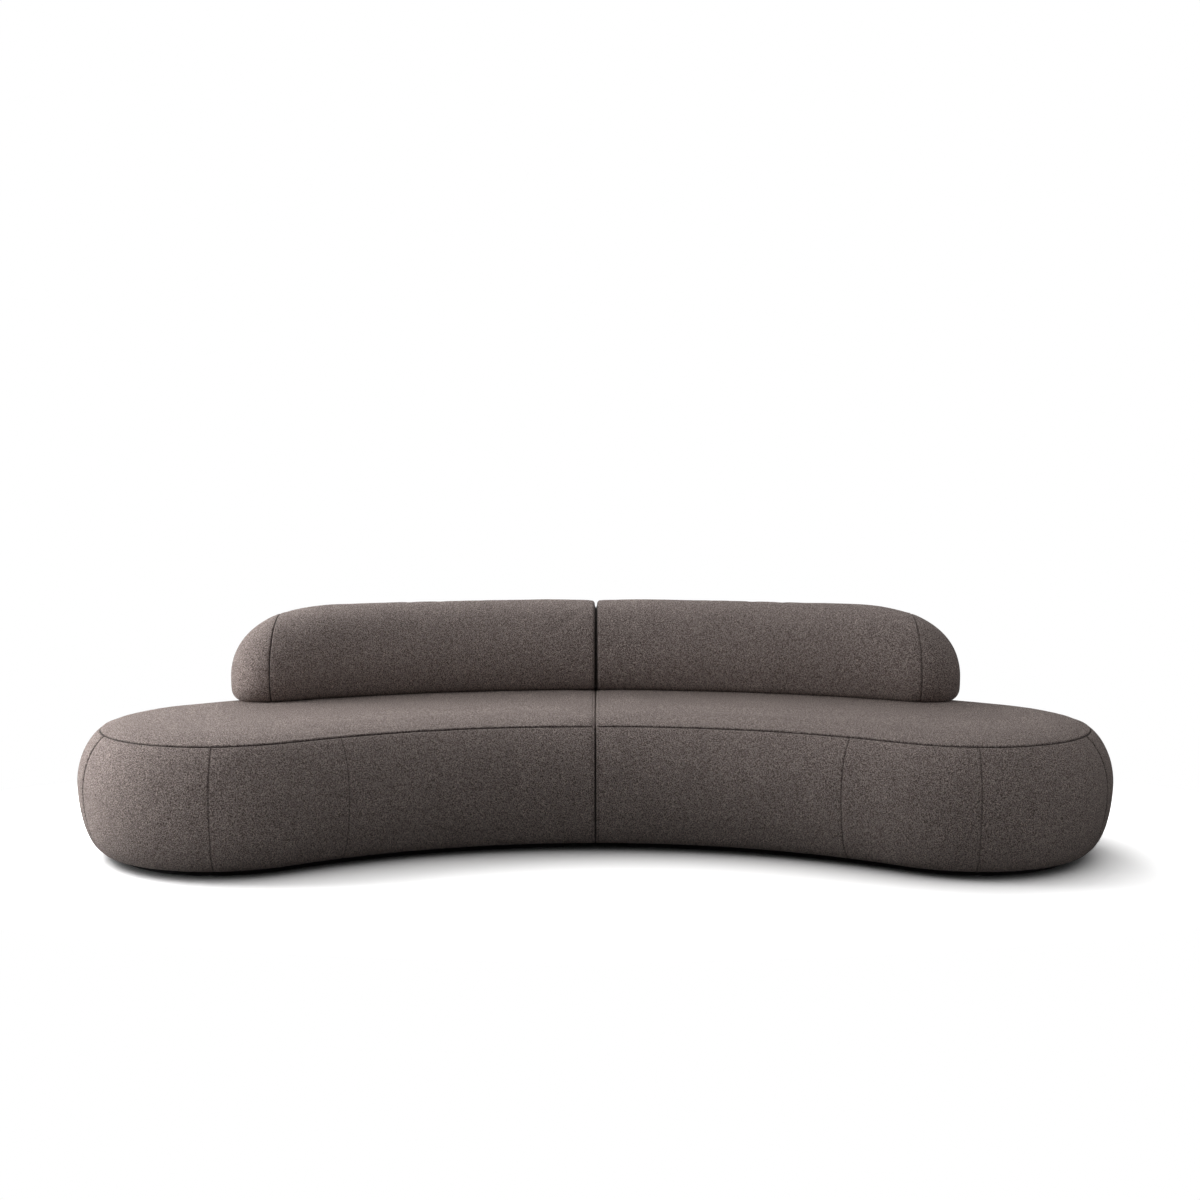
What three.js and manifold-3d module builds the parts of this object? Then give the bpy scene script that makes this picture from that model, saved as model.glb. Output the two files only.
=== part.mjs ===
// Curved two-module sofa with round ends and a low backrest, upholstered in taupe boucle.
// Millimetres, +Z up. The origin is on the floor, under the middle of the sofa's bounding box.
// +X runs along the length, the concave front faces -Y, and the two modules mirror each other.

import * as THREE from "three";
import { mergeVertices } from "three/addons/utils/BufferGeometryUtils.js";
import Module from "manifold-3d";

const wasm = await Module();
wasm.setup();

const degrees = THREE.MathUtils.degToRad;

// Plan of the seat: a band of constant width along an arc, with half-round ends
const arcRadius = 1960;
const halfArcAngle = degrees(35.16);
const seatHalfWidth = 467;

// Heights and rounding of the seat body
const seatHeight = 415;
const seatCrown = 6;
const bulgeHeight = 232;
const hemHeight = 22;
const upperRoundDepth = 135;
const lowerRoundDepth = 84;

// Covers and their seams
const coverThickness = 4;
const grooveDepth = 2.5;
const seamHalfWidth = 9;
const topSeamInset = 69;
const wallSeamAngle = degrees(29);
const endSeamBearings = [degrees(92), degrees(31), degrees(-30)];
const hemTurnWidth = 50;

// Joint between the modules
const seatJointGap = 3;
const seatJointEdgeRadius = 8;
const jointPadThickness = 10;

// Frame of boards and straps
const frameInset = 95;
const frameWallThickness = 6;
const boardThickness = 15;
const boardRingWidth = 100;
const ribThickness = 18;
const ribEndPlay = 1.5;
const deckAboveBulge = 36;
const strapWidth = 70;
const strapThickness = 1.5;
const strapEndMargin = 15;

// Plinth, glides, dust cloth and joining plates
const plinthInset = 110;
const plinthWidth = 40;
const plinthJointSetback = 100;
const glideHeight = 4;
const glideRadius = 15;
const dustClothThickness = 1;
const joiningPlateLength = 120;
const joiningPlateWidth = 40;
const joiningPlateThickness = 3;
const joiningPlateInset = 210;

// Backrest: plan, section and round end
const backSetback = 52;
const backThickness = 258;
const backRise = 304;
const backFrontRoundDepth = 188;
const backBellyRise = 90;
const backBellyStraight = 10;
const backRearRoundHeight = 70;
const backFrontUndercut = 33;
const backRearUndercut = 25;
const backRearRoundRise = 60;
const backRearLift = 16;
const backSeatGap = 1.2;
const backEndReach = 1210;
const backEndFall = 340;
const backEndBellyRise = 76;
const backTipUndercut = 62;
const backTipFootRise = 52;
const backEndPanelWidth = 149;
const backJointGap = 8;
const backJointEdgeRadius = 12;

// Backrest frame and posts
const backFrameMargin = 38;
const backFrameEndAngle = degrees(24);
const backBoardDepth = 148;
const spineThickness = 12;
const spineTopCover = 60;
const gussetThickness = 12;
const gussetTopDepth = 30;
const gussetTopDrop = 12;
const postWidth = 50;
const postThickness = 8;
const postBelowDeck = 120;
const postAboveSeat = 190;

// Gap that touching pieces keep, gap between a cover and its foam, and the overrun of cuts
const clearance = 0.3;
const foamGap = 0.5;
const cutOverrun = 20;

// Counts, shares, angles and one power of the shells
const arcBays = 7;
const endBays = 12;
const backBays = 7;
const roundTurns = [Math.PI / 2, Math.PI / 4, 0];
const lowerTurns = [Math.PI / 2, Math.PI / 3, Math.PI / 6, 0];
const skinRiseShares = [0.25, 0.5, 0.75];
const coreRiseShares = [0.33, 0.67];
const crownShares = [0.5, 1];
const seamReserveShare = 1.5;
const backFallShares = [0.35, 0.7];
const backTipShares = [0.68, 0.42, 0.22, 0.09, 0.015];
const backFallPower = 2.4;
const frontRoundTurns = [0, degrees(22), degrees(45), degrees(68)];
const rearRoundTurns = [degrees(60), degrees(30), 0];
const bottomMiddleShare = 0.55;
const glideSegments = 16;

// Places along the arc, as shares of one bay, counted from the joint
const postBayShares = [1.5, 4.5];
const ribBayShares = [3, 6];
const strapBayShares = [0.8, 2.7, 5.3, 7.3];
const gussetBayShares = [1, 3];
const frontGlideBayShare = 1.5;
const rearGlideBayShare = 1;

// Derived places
const curveCentreY = -(arcRadius * (1 + Math.cos(halfArcAngle))) / 2;
const bayAngle = wallSeamAngle / arcBays;
const frameWallInnerRadius = arcRadius + seatHalfWidth - frameInset - frameWallThickness;
const topSeamTurn = Math.acos(1 - topSeamInset / upperRoundDepth);
const foamDepth = coverThickness + foamGap;
const baseBoardBottom = hemHeight + foamDepth;
const baseBoardTop = baseBoardBottom + boardThickness;
const deckHeight = bulgeHeight + deckAboveBulge;
const topBoardBottom = deckHeight - boardThickness;
const strapTop = deckHeight + clearance + strapThickness;
const foamSplitHeight = strapTop + clearance + clearance / 2;
const frameJointOffset = seatJointGap / 2 + foamDepth + jointPadThickness + clearance;
const backRearRadius = arcRadius + seatHalfWidth - backSetback;
const backFrontRadius = backRearRadius - backThickness;
const backMiddleRadius = backRearRadius - backThickness / 2;
const backEndCentreReach = backEndReach - backThickness / 2;
const backEndAngle = Math.asin(backEndCentreReach / backMiddleRadius);
const backEndCentreY = curveCentreY + backMiddleRadius * Math.cos(backEndAngle);
const backBoardBottom = seatHeight + seatCrown + backSeatGap + foamDepth;
const backBoardTop = backBoardBottom + boardThickness;
const spineRearRadius = frameWallInnerRadius + spineThickness;
const spineTop = seatHeight + backRise - spineTopCover;

// Materials, one look for each kind of stuff
const looks = {
  boucle: { color: 0x8d827b, roughness: 0.95, metalness: 0 },
  foam: { color: 0xe9dcb4, roughness: 0.9, metalness: 0 },
  plywood: { color: 0xc9a36d, roughness: 0.7, metalness: 0 },
  webbing: { color: 0x4a4a4a, roughness: 0.85, metalness: 0 },
  black: { color: 0x17171a, roughness: 0.6, metalness: 0 },
  nylon: { color: 0x2b2b2b, roughness: 0.5, metalness: 0 },
  steel: { color: 0x8f9296, roughness: 0.35, metalness: 0.9 },
};

// Plan geometry of the left module. Angles are measured from the middle plane towards the end.

function planAtRadius(radius, angle) {
  return new THREE.Vector2(-radius * Math.sin(angle), curveCentreY + radius * Math.cos(angle));
}

const endCentre = planAtRadius(arcRadius, halfArcAngle);

// A station is one upright line of a shell. It gives its plan point at an inset from the bulge,
// and how far the shell sinks there: round the joint's edge, and in a seam of the wall.
function arcStation(side, angle, seam) {
  const plan = (inset) => planAtRadius(arcRadius + side * (seatHalfWidth - inset), angle);
  return { plan, roundSink: 0, seam };
}

// Bearings round the end are measured from straight outwards, positive towards the front.
function endStation(bearing, seam) {
  const direction = new THREE.Vector2(-Math.cos(bearing), -Math.sin(bearing));
  const plan = (inset) => endCentre.clone().addScaledVector(direction, seatHalfWidth - inset);
  return { plan, roundSink: 0, seam };
}

// Stations beside the joint lie in planes parallel to it, at a distance that a piece may widen.
function jointStation(side, distance, roundSink, seam) {
  const plan = (inset, leastDistance) => {
    const radius = arcRadius + side * (seatHalfWidth - inset);
    const x = Math.max(distance, leastDistance);
    return new THREE.Vector2(-x, curveCentreY + Math.sqrt(radius * radius - x * x));
  };
  return { plan, roundSink, seam };
}

function jointStations(side, depth, withSeams) {
  const radius = seatJointEdgeRadius - depth;
  const face = seatJointGap / 2 + depth;
  const stations = roundTurns.map((turn) => {
    const distance = face + radius * (1 - Math.sin(turn));
    const seam = withSeams && turn === 0 ? "all" : "none";
    return jointStation(side, distance, radius * (1 - Math.cos(turn)), seam);
  });
  if (withSeams) stations.push(jointStation(side, face + radius + seamHalfWidth, 0, "none"));
  return stations;
}

function arcStations(side, withSeams) {
  const stations = [];
  for (let bay = 1; bay < arcBays; bay += 1) stations.push(arcStation(side, bay * bayAngle, "none"));
  const flank = seamHalfWidth / arcRadius;
  if (withSeams) stations.push(arcStation(side, wallSeamAngle - flank, "none"));
  stations.push(arcStation(side, wallSeamAngle, withSeams ? "wall" : "none"));
  if (withSeams) stations.push(arcStation(side, wallSeamAngle + flank, "none"));
  return [...stations, arcStation(side, (wallSeamAngle + halfArcAngle) / 2, "none")];
}

// The round end turns by half a circle, from the end of the front arc to the end of the rear arc.
function endStations(withSeams) {
  const first = Math.PI / 2 + halfArcAngle;
  const last = first - Math.PI;
  const bearings = [];
  for (let bay = 0; bay <= endBays; bay += 1) {
    bearings.push({ bearing: first + ((last - first) * bay) / endBays, seam: "none" });
  }
  if (!withSeams) return bearings.map(({ bearing }) => endStation(bearing, "none"));
  const flank = seamHalfWidth / seatHalfWidth;
  const reserve = seamReserveShare * flank;
  const isFree = ({ bearing }) => endSeamBearings.every((at) => Math.abs(bearing - at) > reserve);
  const seams = endSeamBearings.flatMap((at) => [
    { bearing: at + flank, seam: "none" },
    { bearing: at, seam: "wall" },
    { bearing: at - flank, seam: "none" },
  ]);
  return [...bearings.filter(isFree), ...seams]
    .sort((a, b) => b.bearing - a.bearing)
    .map(({ bearing, seam }) => endStation(bearing, seam));
}

// All stations round one module, from the joint at the front to the joint at the rear.
function seatStations(depth, withSeams) {
  const front = [...jointStations(-1, depth, withSeams), ...arcStations(-1, withSeams)];
  const rear = [...jointStations(1, depth, withSeams), ...arcStations(1, withSeams)].reverse();
  return [...front, ...endStations(withSeams), ...rear];
}

// Section of the seat. Each row gives the inset from the bulge and the height, at a depth under
// the outer face and for what the shell sinks there. The underside stays level where it sinks.

const lowerRow = (turn) => (depth, sink) => ({
  inset: lowerRoundDepth - (lowerRoundDepth - depth - sink) * Math.cos(turn),
  height: bulgeHeight - (bulgeHeight - hemHeight - depth) * Math.sin(turn),
});

const upperRow = (turn) => (depth, sink) => ({
  inset: upperRoundDepth - (upperRoundDepth - depth - sink) * Math.cos(turn),
  height: bulgeHeight + (seatHeight - bulgeHeight - depth - sink) * Math.sin(turn),
});

const crownRow = (share) => (depth, sink) => ({
  inset: upperRoundDepth + (seatHalfWidth - upperRoundDepth) * share,
  height: seatHeight - depth - sink + seatCrown * (1 - (1 - share) ** 2),
});

// A row at a given height of the upper rounding, where the two seat foams meet.
const splitRow = (height) => (depth, sink) => {
  const turn = Math.asin((height - bulgeHeight) / (seatHeight - bulgeHeight - depth - sink));
  return { inset: upperRow(turn)(depth, sink).inset, height };
};

const flatRow = (inset, height, leastDistance) => () => ({ inset, height, leastDistance });

const middleRow = (height, leastDistance) => flatRow(seatHalfWidth, height, leastDistance);

function seatSurfaceHeight(inset) {
  if (inset >= upperRoundDepth) {
    const share = (inset - upperRoundDepth) / (seatHalfWidth - upperRoundDepth);
    return crownRow(share)(0, 0).height;
  }
  return upperRow(Math.acos(1 - inset / upperRoundDepth))(0, 0).height;
}

function isInSeam(row, station) {
  if (row.grooved === "always" || station.seam === "all") return true;
  return row.grooved === "wall" && station.seam === "wall";
}

// One closed ring of points for each row, round all stations.
function seatRings(rows, stations, depth) {
  return rows.map((row) => {
    return stations.map((station) => {
      const sink = station.roundSink + (isInSeam(row, station) ? grooveDepth : 0);
      const { inset, height, leastDistance = 0 } = row.section(depth, sink);
      const plan = station.plan(inset, leastDistance);
      return new THREE.Vector3(plan.x, plan.y, height);
    });
  });
}

// Closed surfaces from rings of points

// Joins rings of equal length into one surface. Rows may run in a loop, like the section of a
// board, or end where the last ring folds shut. Open rings get a flat cap at both ends.
function skinOfRings(rings, { rowsLoop = false, ringsOpen = false } = {}) {
  const positions = rings.flat().flatMap((point) => point.toArray());
  const length = rings[0].length;
  const faces = [];
  const quad = (a, b, c, d) => faces.push(a, b, c, a, c, d);
  const rowCount = rowsLoop ? rings.length : rings.length - 1;
  const columnCount = ringsOpen ? length - 1 : length;
  for (let row = 0; row < rowCount; row += 1) {
    const low = row * length;
    const high = ((row + 1) % rings.length) * length;
    for (let column = 0; column < columnCount; column += 1) {
      const next = (column + 1) % length;
      quad(low + column, high + column, high + next, low + next);
    }
  }
  if (ringsOpen) {
    for (let row = 1; row < rings.length - 1; row += 1) {
      faces.push(0, (row + 1) * length, row * length);
      faces.push(length - 1, (row + 1) * length - 1, (row + 2) * length - 1);
    }
  }
  const geometry = new THREE.BufferGeometry();
  geometry.setAttribute("position", new THREE.Float32BufferAttribute(positions, 3));
  geometry.setIndex(faces);
  return withoutSlivers(mergeVertices(geometry));
}

// Drops the triangles that folded onto a line when their points were merged.
function withoutSlivers(geometry) {
  const index = geometry.index.array;
  const kept = [];
  for (let i = 0; i < index.length; i += 3) {
    const [a, b, c] = index.subarray(i, i + 3);
    if (a !== b && b !== c && c !== a) kept.push(a, b, c);
  }
  geometry.setIndex(kept);
  return geometry;
}

function solidOf(geometry) {
  const bare = geometry.clone();
  bare.deleteAttribute("normal");
  bare.deleteAttribute("uv");
  const merged = mergeVertices(bare);
  return new wasm.Manifold(
    new wasm.Mesh({
      numProp: 3,
      vertProperties: merged.getAttribute("position").array,
      triVerts: new Uint32Array(merged.index.array),
    }),
  );
}

function geometryOf(solid) {
  const mesh = solid.getMesh();
  const geometry = new THREE.BufferGeometry();
  geometry.setAttribute("position", new THREE.BufferAttribute(mesh.vertProperties, 3));
  geometry.setIndex(new THREE.BufferAttribute(mesh.triVerts, 1));
  return geometry;
}

function cutAway(geometry, tools) {
  return geometryOf(tools.reduce((solid, tool) => solid.subtract(solidOf(tool)), solidOf(geometry)));
}

// Seat body

const plainRows = (sections) => sections.map((section) => ({ section, grooved: "none" }));

// Rows of the outer skin, with a groove along the top seam and rows beside it that stay full.
function seatSkinRows() {
  const flank = seamHalfWidth / (seatHeight - bulgeHeight);
  const beforeSeam = topSeamTurn - flank;
  const afterSeam = topSeamTurn + flank;
  const wall = [
    ...lowerTurns.map(lowerRow),
    ...skinRiseShares.map((share) => upperRow(beforeSeam * share)),
    upperRow(beforeSeam),
  ];
  const top = [
    upperRow(afterSeam),
    upperRow((afterSeam + Math.PI / 2) / 2),
    upperRow(Math.PI / 2),
    ...crownShares.map(crownRow),
  ];
  return [
    { section: middleRow(hemHeight), grooved: "none" },
    ...wall.map((section) => ({ section, grooved: "wall" })),
    { section: upperRow(topSeamTurn), grooved: "always" },
    ...plainRows(top),
  ];
}

// Rows of the upper side under the cover, shared by the cover's inner face and the top foam.
function coreUpperRows() {
  const splitTurn = Math.asin((foamSplitHeight - bulgeHeight) / (seatHeight - bulgeHeight - foamDepth));
  return [
    ...coreRiseShares.map((share) => upperRow(splitTurn + (topSeamTurn - splitTurn) * share)),
    upperRow(topSeamTurn),
    upperRow((topSeamTurn + Math.PI / 2) / 2),
    upperRow(Math.PI / 2),
    crownRow(1),
  ];
}

function seatCoverGeometry() {
  const outer = skinOfRings(seatRings(seatSkinRows(), seatStations(0, true), 0));
  const openingInset = lowerRoundDepth + hemTurnWidth;
  const openingDistance = seatJointGap / 2 + hemTurnWidth;
  const innerRows = plainRows([
    middleRow(hemHeight - cutOverrun),
    flatRow(openingInset, hemHeight - cutOverrun, openingDistance),
    flatRow(openingInset, hemHeight + coverThickness, openingDistance),
    ...lowerTurns.map(lowerRow),
    splitRow(foamSplitHeight),
    ...coreUpperRows(),
  ]);
  const inner = skinOfRings(seatRings(innerRows, seatStations(coverThickness, false), coverThickness));
  return cutAway(outer, [inner, ...postCuts()]);
}

function seatTopFoamGeometry() {
  const bottom = foamSplitHeight + clearance / 2;
  const rows = plainRows([middleRow(bottom), splitRow(bottom), ...coreUpperRows()]);
  return cutAway(skinOfRings(seatRings(rows, seatStations(foamDepth, false), foamDepth)), postCuts());
}

function seatWallFoamGeometry() {
  const top = foamSplitHeight - clearance / 2;
  const inset = frameInset - clearance;
  const distance = frameJointOffset - clearance;
  const rows = plainRows([
    ...lowerTurns.map(lowerRow),
    splitRow(top),
    flatRow(inset, top, distance),
    flatRow(inset, hemHeight + foamDepth, distance),
  ]);
  return skinOfRings(seatRings(rows, seatStations(foamDepth, false), foamDepth), { rowsLoop: true });
}

// A flat ring that follows the seat's outline, and its side along the joint.
function outlineRingGeometry(inset, width, distance, bottom, top) {
  const rows = plainRows([
    flatRow(inset, bottom, distance),
    flatRow(inset, top, distance),
    flatRow(inset + width, top, distance + width),
    flatRow(inset + width, bottom, distance + width),
  ]);
  return skinOfRings(seatRings(rows, seatStations(foamDepth, false), 0), { rowsLoop: true });
}

// The bent wall follows the outline but stays open along the joint, where the joint board stands.
function frameWallGeometry() {
  const bottom = baseBoardTop + clearance;
  const top = topBoardBottom - clearance;
  const rows = plainRows([
    flatRow(frameInset, bottom, frameJointOffset),
    flatRow(frameInset, top, frameJointOffset),
    flatRow(frameInset + frameWallThickness, top, frameJointOffset),
    flatRow(frameInset + frameWallThickness, bottom, frameJointOffset),
  ]);
  const roundSteps = roundTurns.length - 1;
  const stations = seatStations(foamDepth, false).slice(roundSteps, -roundSteps);
  const rings = seatRings(rows, stations, 0);
  return skinOfRings(rings, { rowsLoop: true, ringsOpen: true });
}

function dustClothGeometry() {
  const top = baseBoardBottom - clearance;
  const bottom = top - dustClothThickness;
  const inset = plinthInset + plinthWidth + clearance;
  const distance = plinthJointSetback + plinthWidth + clearance;
  const rows = plainRows([
    middleRow(bottom, distance),
    flatRow(inset, bottom, distance),
    flatRow(inset, top, distance),
    middleRow(top, distance),
  ]);
  return skinOfRings(seatRings(rows, seatStations(foamDepth, false), 0));
}

// Upright boards across the seat, between the two sides of the bent wall.
function ribGeometry() {
  const length = 2 * (seatHalfWidth - frameInset - frameWallThickness - ribEndPlay);
  const height = topBoardBottom - baseBoardTop - 2 * clearance;
  return new THREE.BoxGeometry(ribThickness, length, height);
}

function strapGeometry() {
  const length = 2 * (seatHalfWidth - frameInset - strapEndMargin);
  return new THREE.BoxGeometry(strapWidth, length, strapThickness);
}

function glideGeometry() {
  const disc = new THREE.CylinderGeometry(glideRadius, glideRadius, glideHeight, glideSegments);
  return disc.rotateX(Math.PI / 2);
}

function glideStations() {
  return [
    arcStation(-1, frontGlideBayShare * bayAngle, "none"),
    endStation(endSeamBearings[0], "none"),
    endStation(endSeamBearings[2], "none"),
    arcStation(1, rearGlideBayShare * bayAngle, "none"),
  ];
}

// Places a piece that lies across the seat at an angle along the arc.
function turnedTo(geometry, radius, angle, height) {
  const plan = planAtRadius(radius, angle);
  return geometry.rotateZ(angle).translate(plan.x, plan.y, height);
}

// Backrest, in sections parallel to the middle plane at a reach from it

function backPlan(reach, depth) {
  const endRadius = backThickness / 2 - depth;
  const frontRadius = backFrontRadius + depth;
  const rearRadius = backRearRadius - depth;
  const across = Math.sqrt(Math.max(0, endRadius ** 2 - (reach - backEndCentreReach) ** 2));
  const onArc = (radius) => curveCentreY + Math.sqrt(radius ** 2 - reach ** 2);
  const isOnFrontArc = reach < frontRadius * Math.sin(backEndAngle);
  const isOnRearArc = reach < rearRadius * Math.sin(backEndAngle);
  return {
    front: isOnFrontArc ? onArc(frontRadius) : backEndCentreY - across,
    rear: isOnRearArc ? onArc(rearRadius) : backEndCentreY + across,
  };
}

// How full the section stands, from 1 along the backrest to 0 at its tip, on a full ellipse.
function backFullness(reach, depth) {
  const fallen = Math.max(0, reach - (backEndReach - backEndFall)) / (backEndFall - depth);
  return Math.max(0, 1 - fallen ** backFallPower) ** (1 / backFallPower);
}

// The underside follows the seat, and turns up at the tip.
function backUndersideHeight(reach, y, lift, depth) {
  const radius = Math.hypot(reach, y - curveCentreY);
  const inset = seatHalfWidth - Math.abs(radius - arcRadius);
  const rest = seatSurfaceHeight(inset) + backSeatGap + lift + depth;
  const fromTip = backEndReach - depth - reach;
  const missing = 1 - Math.min(1, Math.max(0, fromTip / backTipUndercut));
  const turnUp = 1 - Math.sqrt(1 - missing ** 2);
  return rest + (seatHeight + backTipFootRise - rest) * turnUp;
}

function backSection(reach, depth) {
  const { front, rear } = backPlan(reach, depth);
  const widthShare = (rear - front) / backThickness;
  const fullness = backFullness(reach, depth);
  const endBelly = seatHeight + backEndBellyRise;
  const top = endBelly + (backRise - backEndBellyRise - depth) * fullness;
  const belly = endBelly + (backBellyRise - backEndBellyRise) * fullness;
  const shoulder = endBelly + (backRise - backEndBellyRise - backRearRoundHeight) * fullness;
  const crest = front + (rear - front) * (backFrontRoundDepth / backThickness);
  const bottomFront = front + backFrontUndercut * widthShare;
  const bottomRear = rear - backRearUndercut * widthShare;
  const bottomMiddle = bottomFront + (bottomRear - bottomFront) * bottomMiddleShare;
  const underFront = backUndersideHeight(reach, bottomFront, 0, depth);
  const underMiddle = backUndersideHeight(reach, bottomMiddle, 0, depth);
  const underRear = backUndersideHeight(reach, bottomRear, backRearLift, depth);
  const frontFoot = belly - backBellyStraight;
  const rearFoot = Math.min(seatHeight + backRearRoundRise, shoulder - clearance);
  const quarter = Math.PI / 4;
  const lowFrontY = bottomFront - backFrontUndercut * widthShare * Math.sin(quarter);
  const lowFrontZ = frontFoot - (frontFoot - underFront) * Math.cos(quarter);
  const frontRound = frontRoundTurns.map((turn) => [
    crest - (crest - front) * Math.cos(turn),
    belly + (top - belly) * Math.sin(turn),
  ]);
  const rearRound = rearRoundTurns.map((turn) => [
    crest + (rear - crest) * Math.cos(turn),
    shoulder + (top - shoulder) * Math.sin(turn),
  ]);
  return [
    [crest, top],
    ...rearRound,
    [rear, rearFoot],
    [bottomRear, underRear],
    [bottomMiddle, underMiddle],
    [bottomFront, underFront],
    [lowFrontY, lowFrontZ],
    [front, frontFoot],
    ...frontRound,
  ];
}

// Reaches of the sections and how far each one sinks, from the joint to the tip.
function backStations(depth, withSeams) {
  const radius = backJointEdgeRadius - depth;
  const face = backJointGap / 2 + depth;
  const tip = backEndReach - depth;
  const fallStart = backEndReach - backEndFall;
  const seamReach = backEndReach - backEndPanelWidth;
  const stations = roundTurns.map((turn) => ({
    reach: face + radius * (1 - Math.sin(turn)),
    sink: radius * (1 - Math.cos(turn)) + (withSeams && turn === 0 ? grooveDepth : 0),
  }));
  if (withSeams) stations.push({ reach: face + radius + seamHalfWidth, sink: 0 });
  for (let bay = 1; bay <= backBays; bay += 1) {
    stations.push({ reach: (fallStart * bay) / backBays, sink: 0 });
  }
  for (const share of backFallShares) {
    stations.push({ reach: fallStart + (seamReach - fallStart) * share, sink: 0 });
  }
  stations.push({ reach: seamReach - seamHalfWidth, sink: 0 });
  if (withSeams) stations.push({ reach: seamReach, sink: grooveDepth });
  stations.push({ reach: seamReach + seamHalfWidth, sink: 0 });
  for (const share of backTipShares) stations.push({ reach: tip - backEndPanelWidth * share, sink: 0 });
  return stations;
}

// The stations run along the rings here, and the points of a section make the rows.
function backSkin(depth, withSeams) {
  const sections = backStations(depth, withSeams).map(({ reach, sink }) =>
    backSection(reach, depth + sink).map(([y, z]) => new THREE.Vector3(-reach, y, z)),
  );
  const rings = sections[0].map((_, row) => sections.map((section) => section[row]));
  return skinOfRings(rings, { rowsLoop: true, ringsOpen: true });
}

// A bent upright or flat panel between two radii and two heights, with its corners on the bays.
function arcPanel(innerRadius, outerRadius, bottom, top, margin) {
  const first = (backFrameMargin - margin) / backMiddleRadius;
  const last = backFrameEndAngle + margin / backMiddleRadius;
  const angles = [first];
  for (let bay = 1; bay * bayAngle < last; bay += 1) {
    if (bay * bayAngle > first) angles.push(bay * bayAngle);
  }
  angles.push(last);
  const corners = [
    [outerRadius + margin, bottom - margin],
    [outerRadius + margin, top + margin],
    [innerRadius - margin, top + margin],
    [innerRadius - margin, bottom - margin],
  ];
  const rings = corners.map(([radius, height]) =>
    angles.map((angle) => {
      const plan = planAtRadius(radius, angle);
      return new THREE.Vector3(plan.x, plan.y, height);
    }),
  );
  return skinOfRings(rings.reverse(), { rowsLoop: true, ringsOpen: true });
}

const backBoardInnerRadius = spineRearRadius - backBoardDepth;

function backBoardGeometry(margin = 0, extraDepth = 0) {
  const bottom = backBoardBottom - extraDepth;
  return arcPanel(backBoardInnerRadius, spineRearRadius, bottom, backBoardTop, margin);
}

function spineGeometry(margin = 0) {
  return arcPanel(frameWallInnerRadius, spineRearRadius, backBoardTop + clearance, spineTop, margin);
}

// A gusset is a thin upright board with a sloping front, between the base board and the spine.
function gussetGeometry(bay, margin = 0) {
  const bottom = backBoardTop + clearance - margin;
  const top = spineTop - gussetTopDrop + margin;
  const rear = frameWallInnerRadius - 2 * clearance + margin;
  const front = backBoardInnerRadius - margin;
  const outline = new THREE.Shape();
  outline.moveTo(front, bottom);
  outline.lineTo(rear, bottom);
  outline.lineTo(rear, top);
  outline.lineTo(rear - gussetTopDepth - margin, top);
  outline.closePath();
  const thickness = gussetThickness + 2 * margin;
  const board = new THREE.ExtrudeGeometry(outline, { depth: thickness, bevelEnabled: false });
  return board
    .translate(0, 0, -thickness / 2)
    .rotateX(Math.PI / 2)
    .rotateZ(Math.PI / 2 + bay * bayAngle)
    .translate(0, curveCentreY, 0);
}

// A flat steel post stands against the bent wall and the spine, in the middle of a bay.
function postGeometry(bay, margin = 0) {
  const bottom = deckHeight - postBelowDeck;
  const top = seatHeight + postAboveSeat;
  const height = top - bottom + 2 * margin;
  const radius = frameWallInnerRadius * Math.cos(bayAngle / 2) - clearance - postThickness / 2;
  const bar = new THREE.BoxGeometry(postWidth + 2 * margin, postThickness + 2 * margin, height);
  return turnedTo(bar, radius, bay * bayAngle, (bottom + top) / 2);
}

function postCuts() {
  return postBayShares.map((bay) => postGeometry(bay, clearance));
}

function backCoverGeometry() {
  return cutAway(backSkin(0, true), [backSkin(coverThickness, false), ...postCuts()]);
}

function backFoamGeometry() {
  return cutAway(backSkin(foamDepth, false), [
    backBoardGeometry(clearance, cutOverrun + backRearLift),
    spineGeometry(clearance),
    ...gussetBayShares.map((bay) => gussetGeometry(bay, clearance)),
    ...postCuts(),
  ]);
}

// Assembly

const material = Object.fromEntries(
  Object.entries(looks).map(([look, values]) => [look, new THREE.MeshStandardMaterial(values)]),
);

// Mirrors a left piece into its right twin, and turns its faces round again.
function mirrored(geometry) {
  const twin = mergeVertices(geometry).scale(-1, 1, 1);
  const index = twin.index.array;
  for (let i = 0; i < index.length; i += 3) {
    [index[i + 1], index[i + 2]] = [index[i + 2], index[i + 1]];
  }
  return twin;
}

function boardRing(bottom, top) {
  return outlineRingGeometry(frameInset, boardRingWidth, frameJointOffset, bottom, top);
}

function plinthGeometry() {
  const bottom = glideHeight + clearance;
  return outlineRingGeometry(plinthInset, plinthWidth, plinthJointSetback, bottom, hemHeight - clearance);
}

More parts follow.
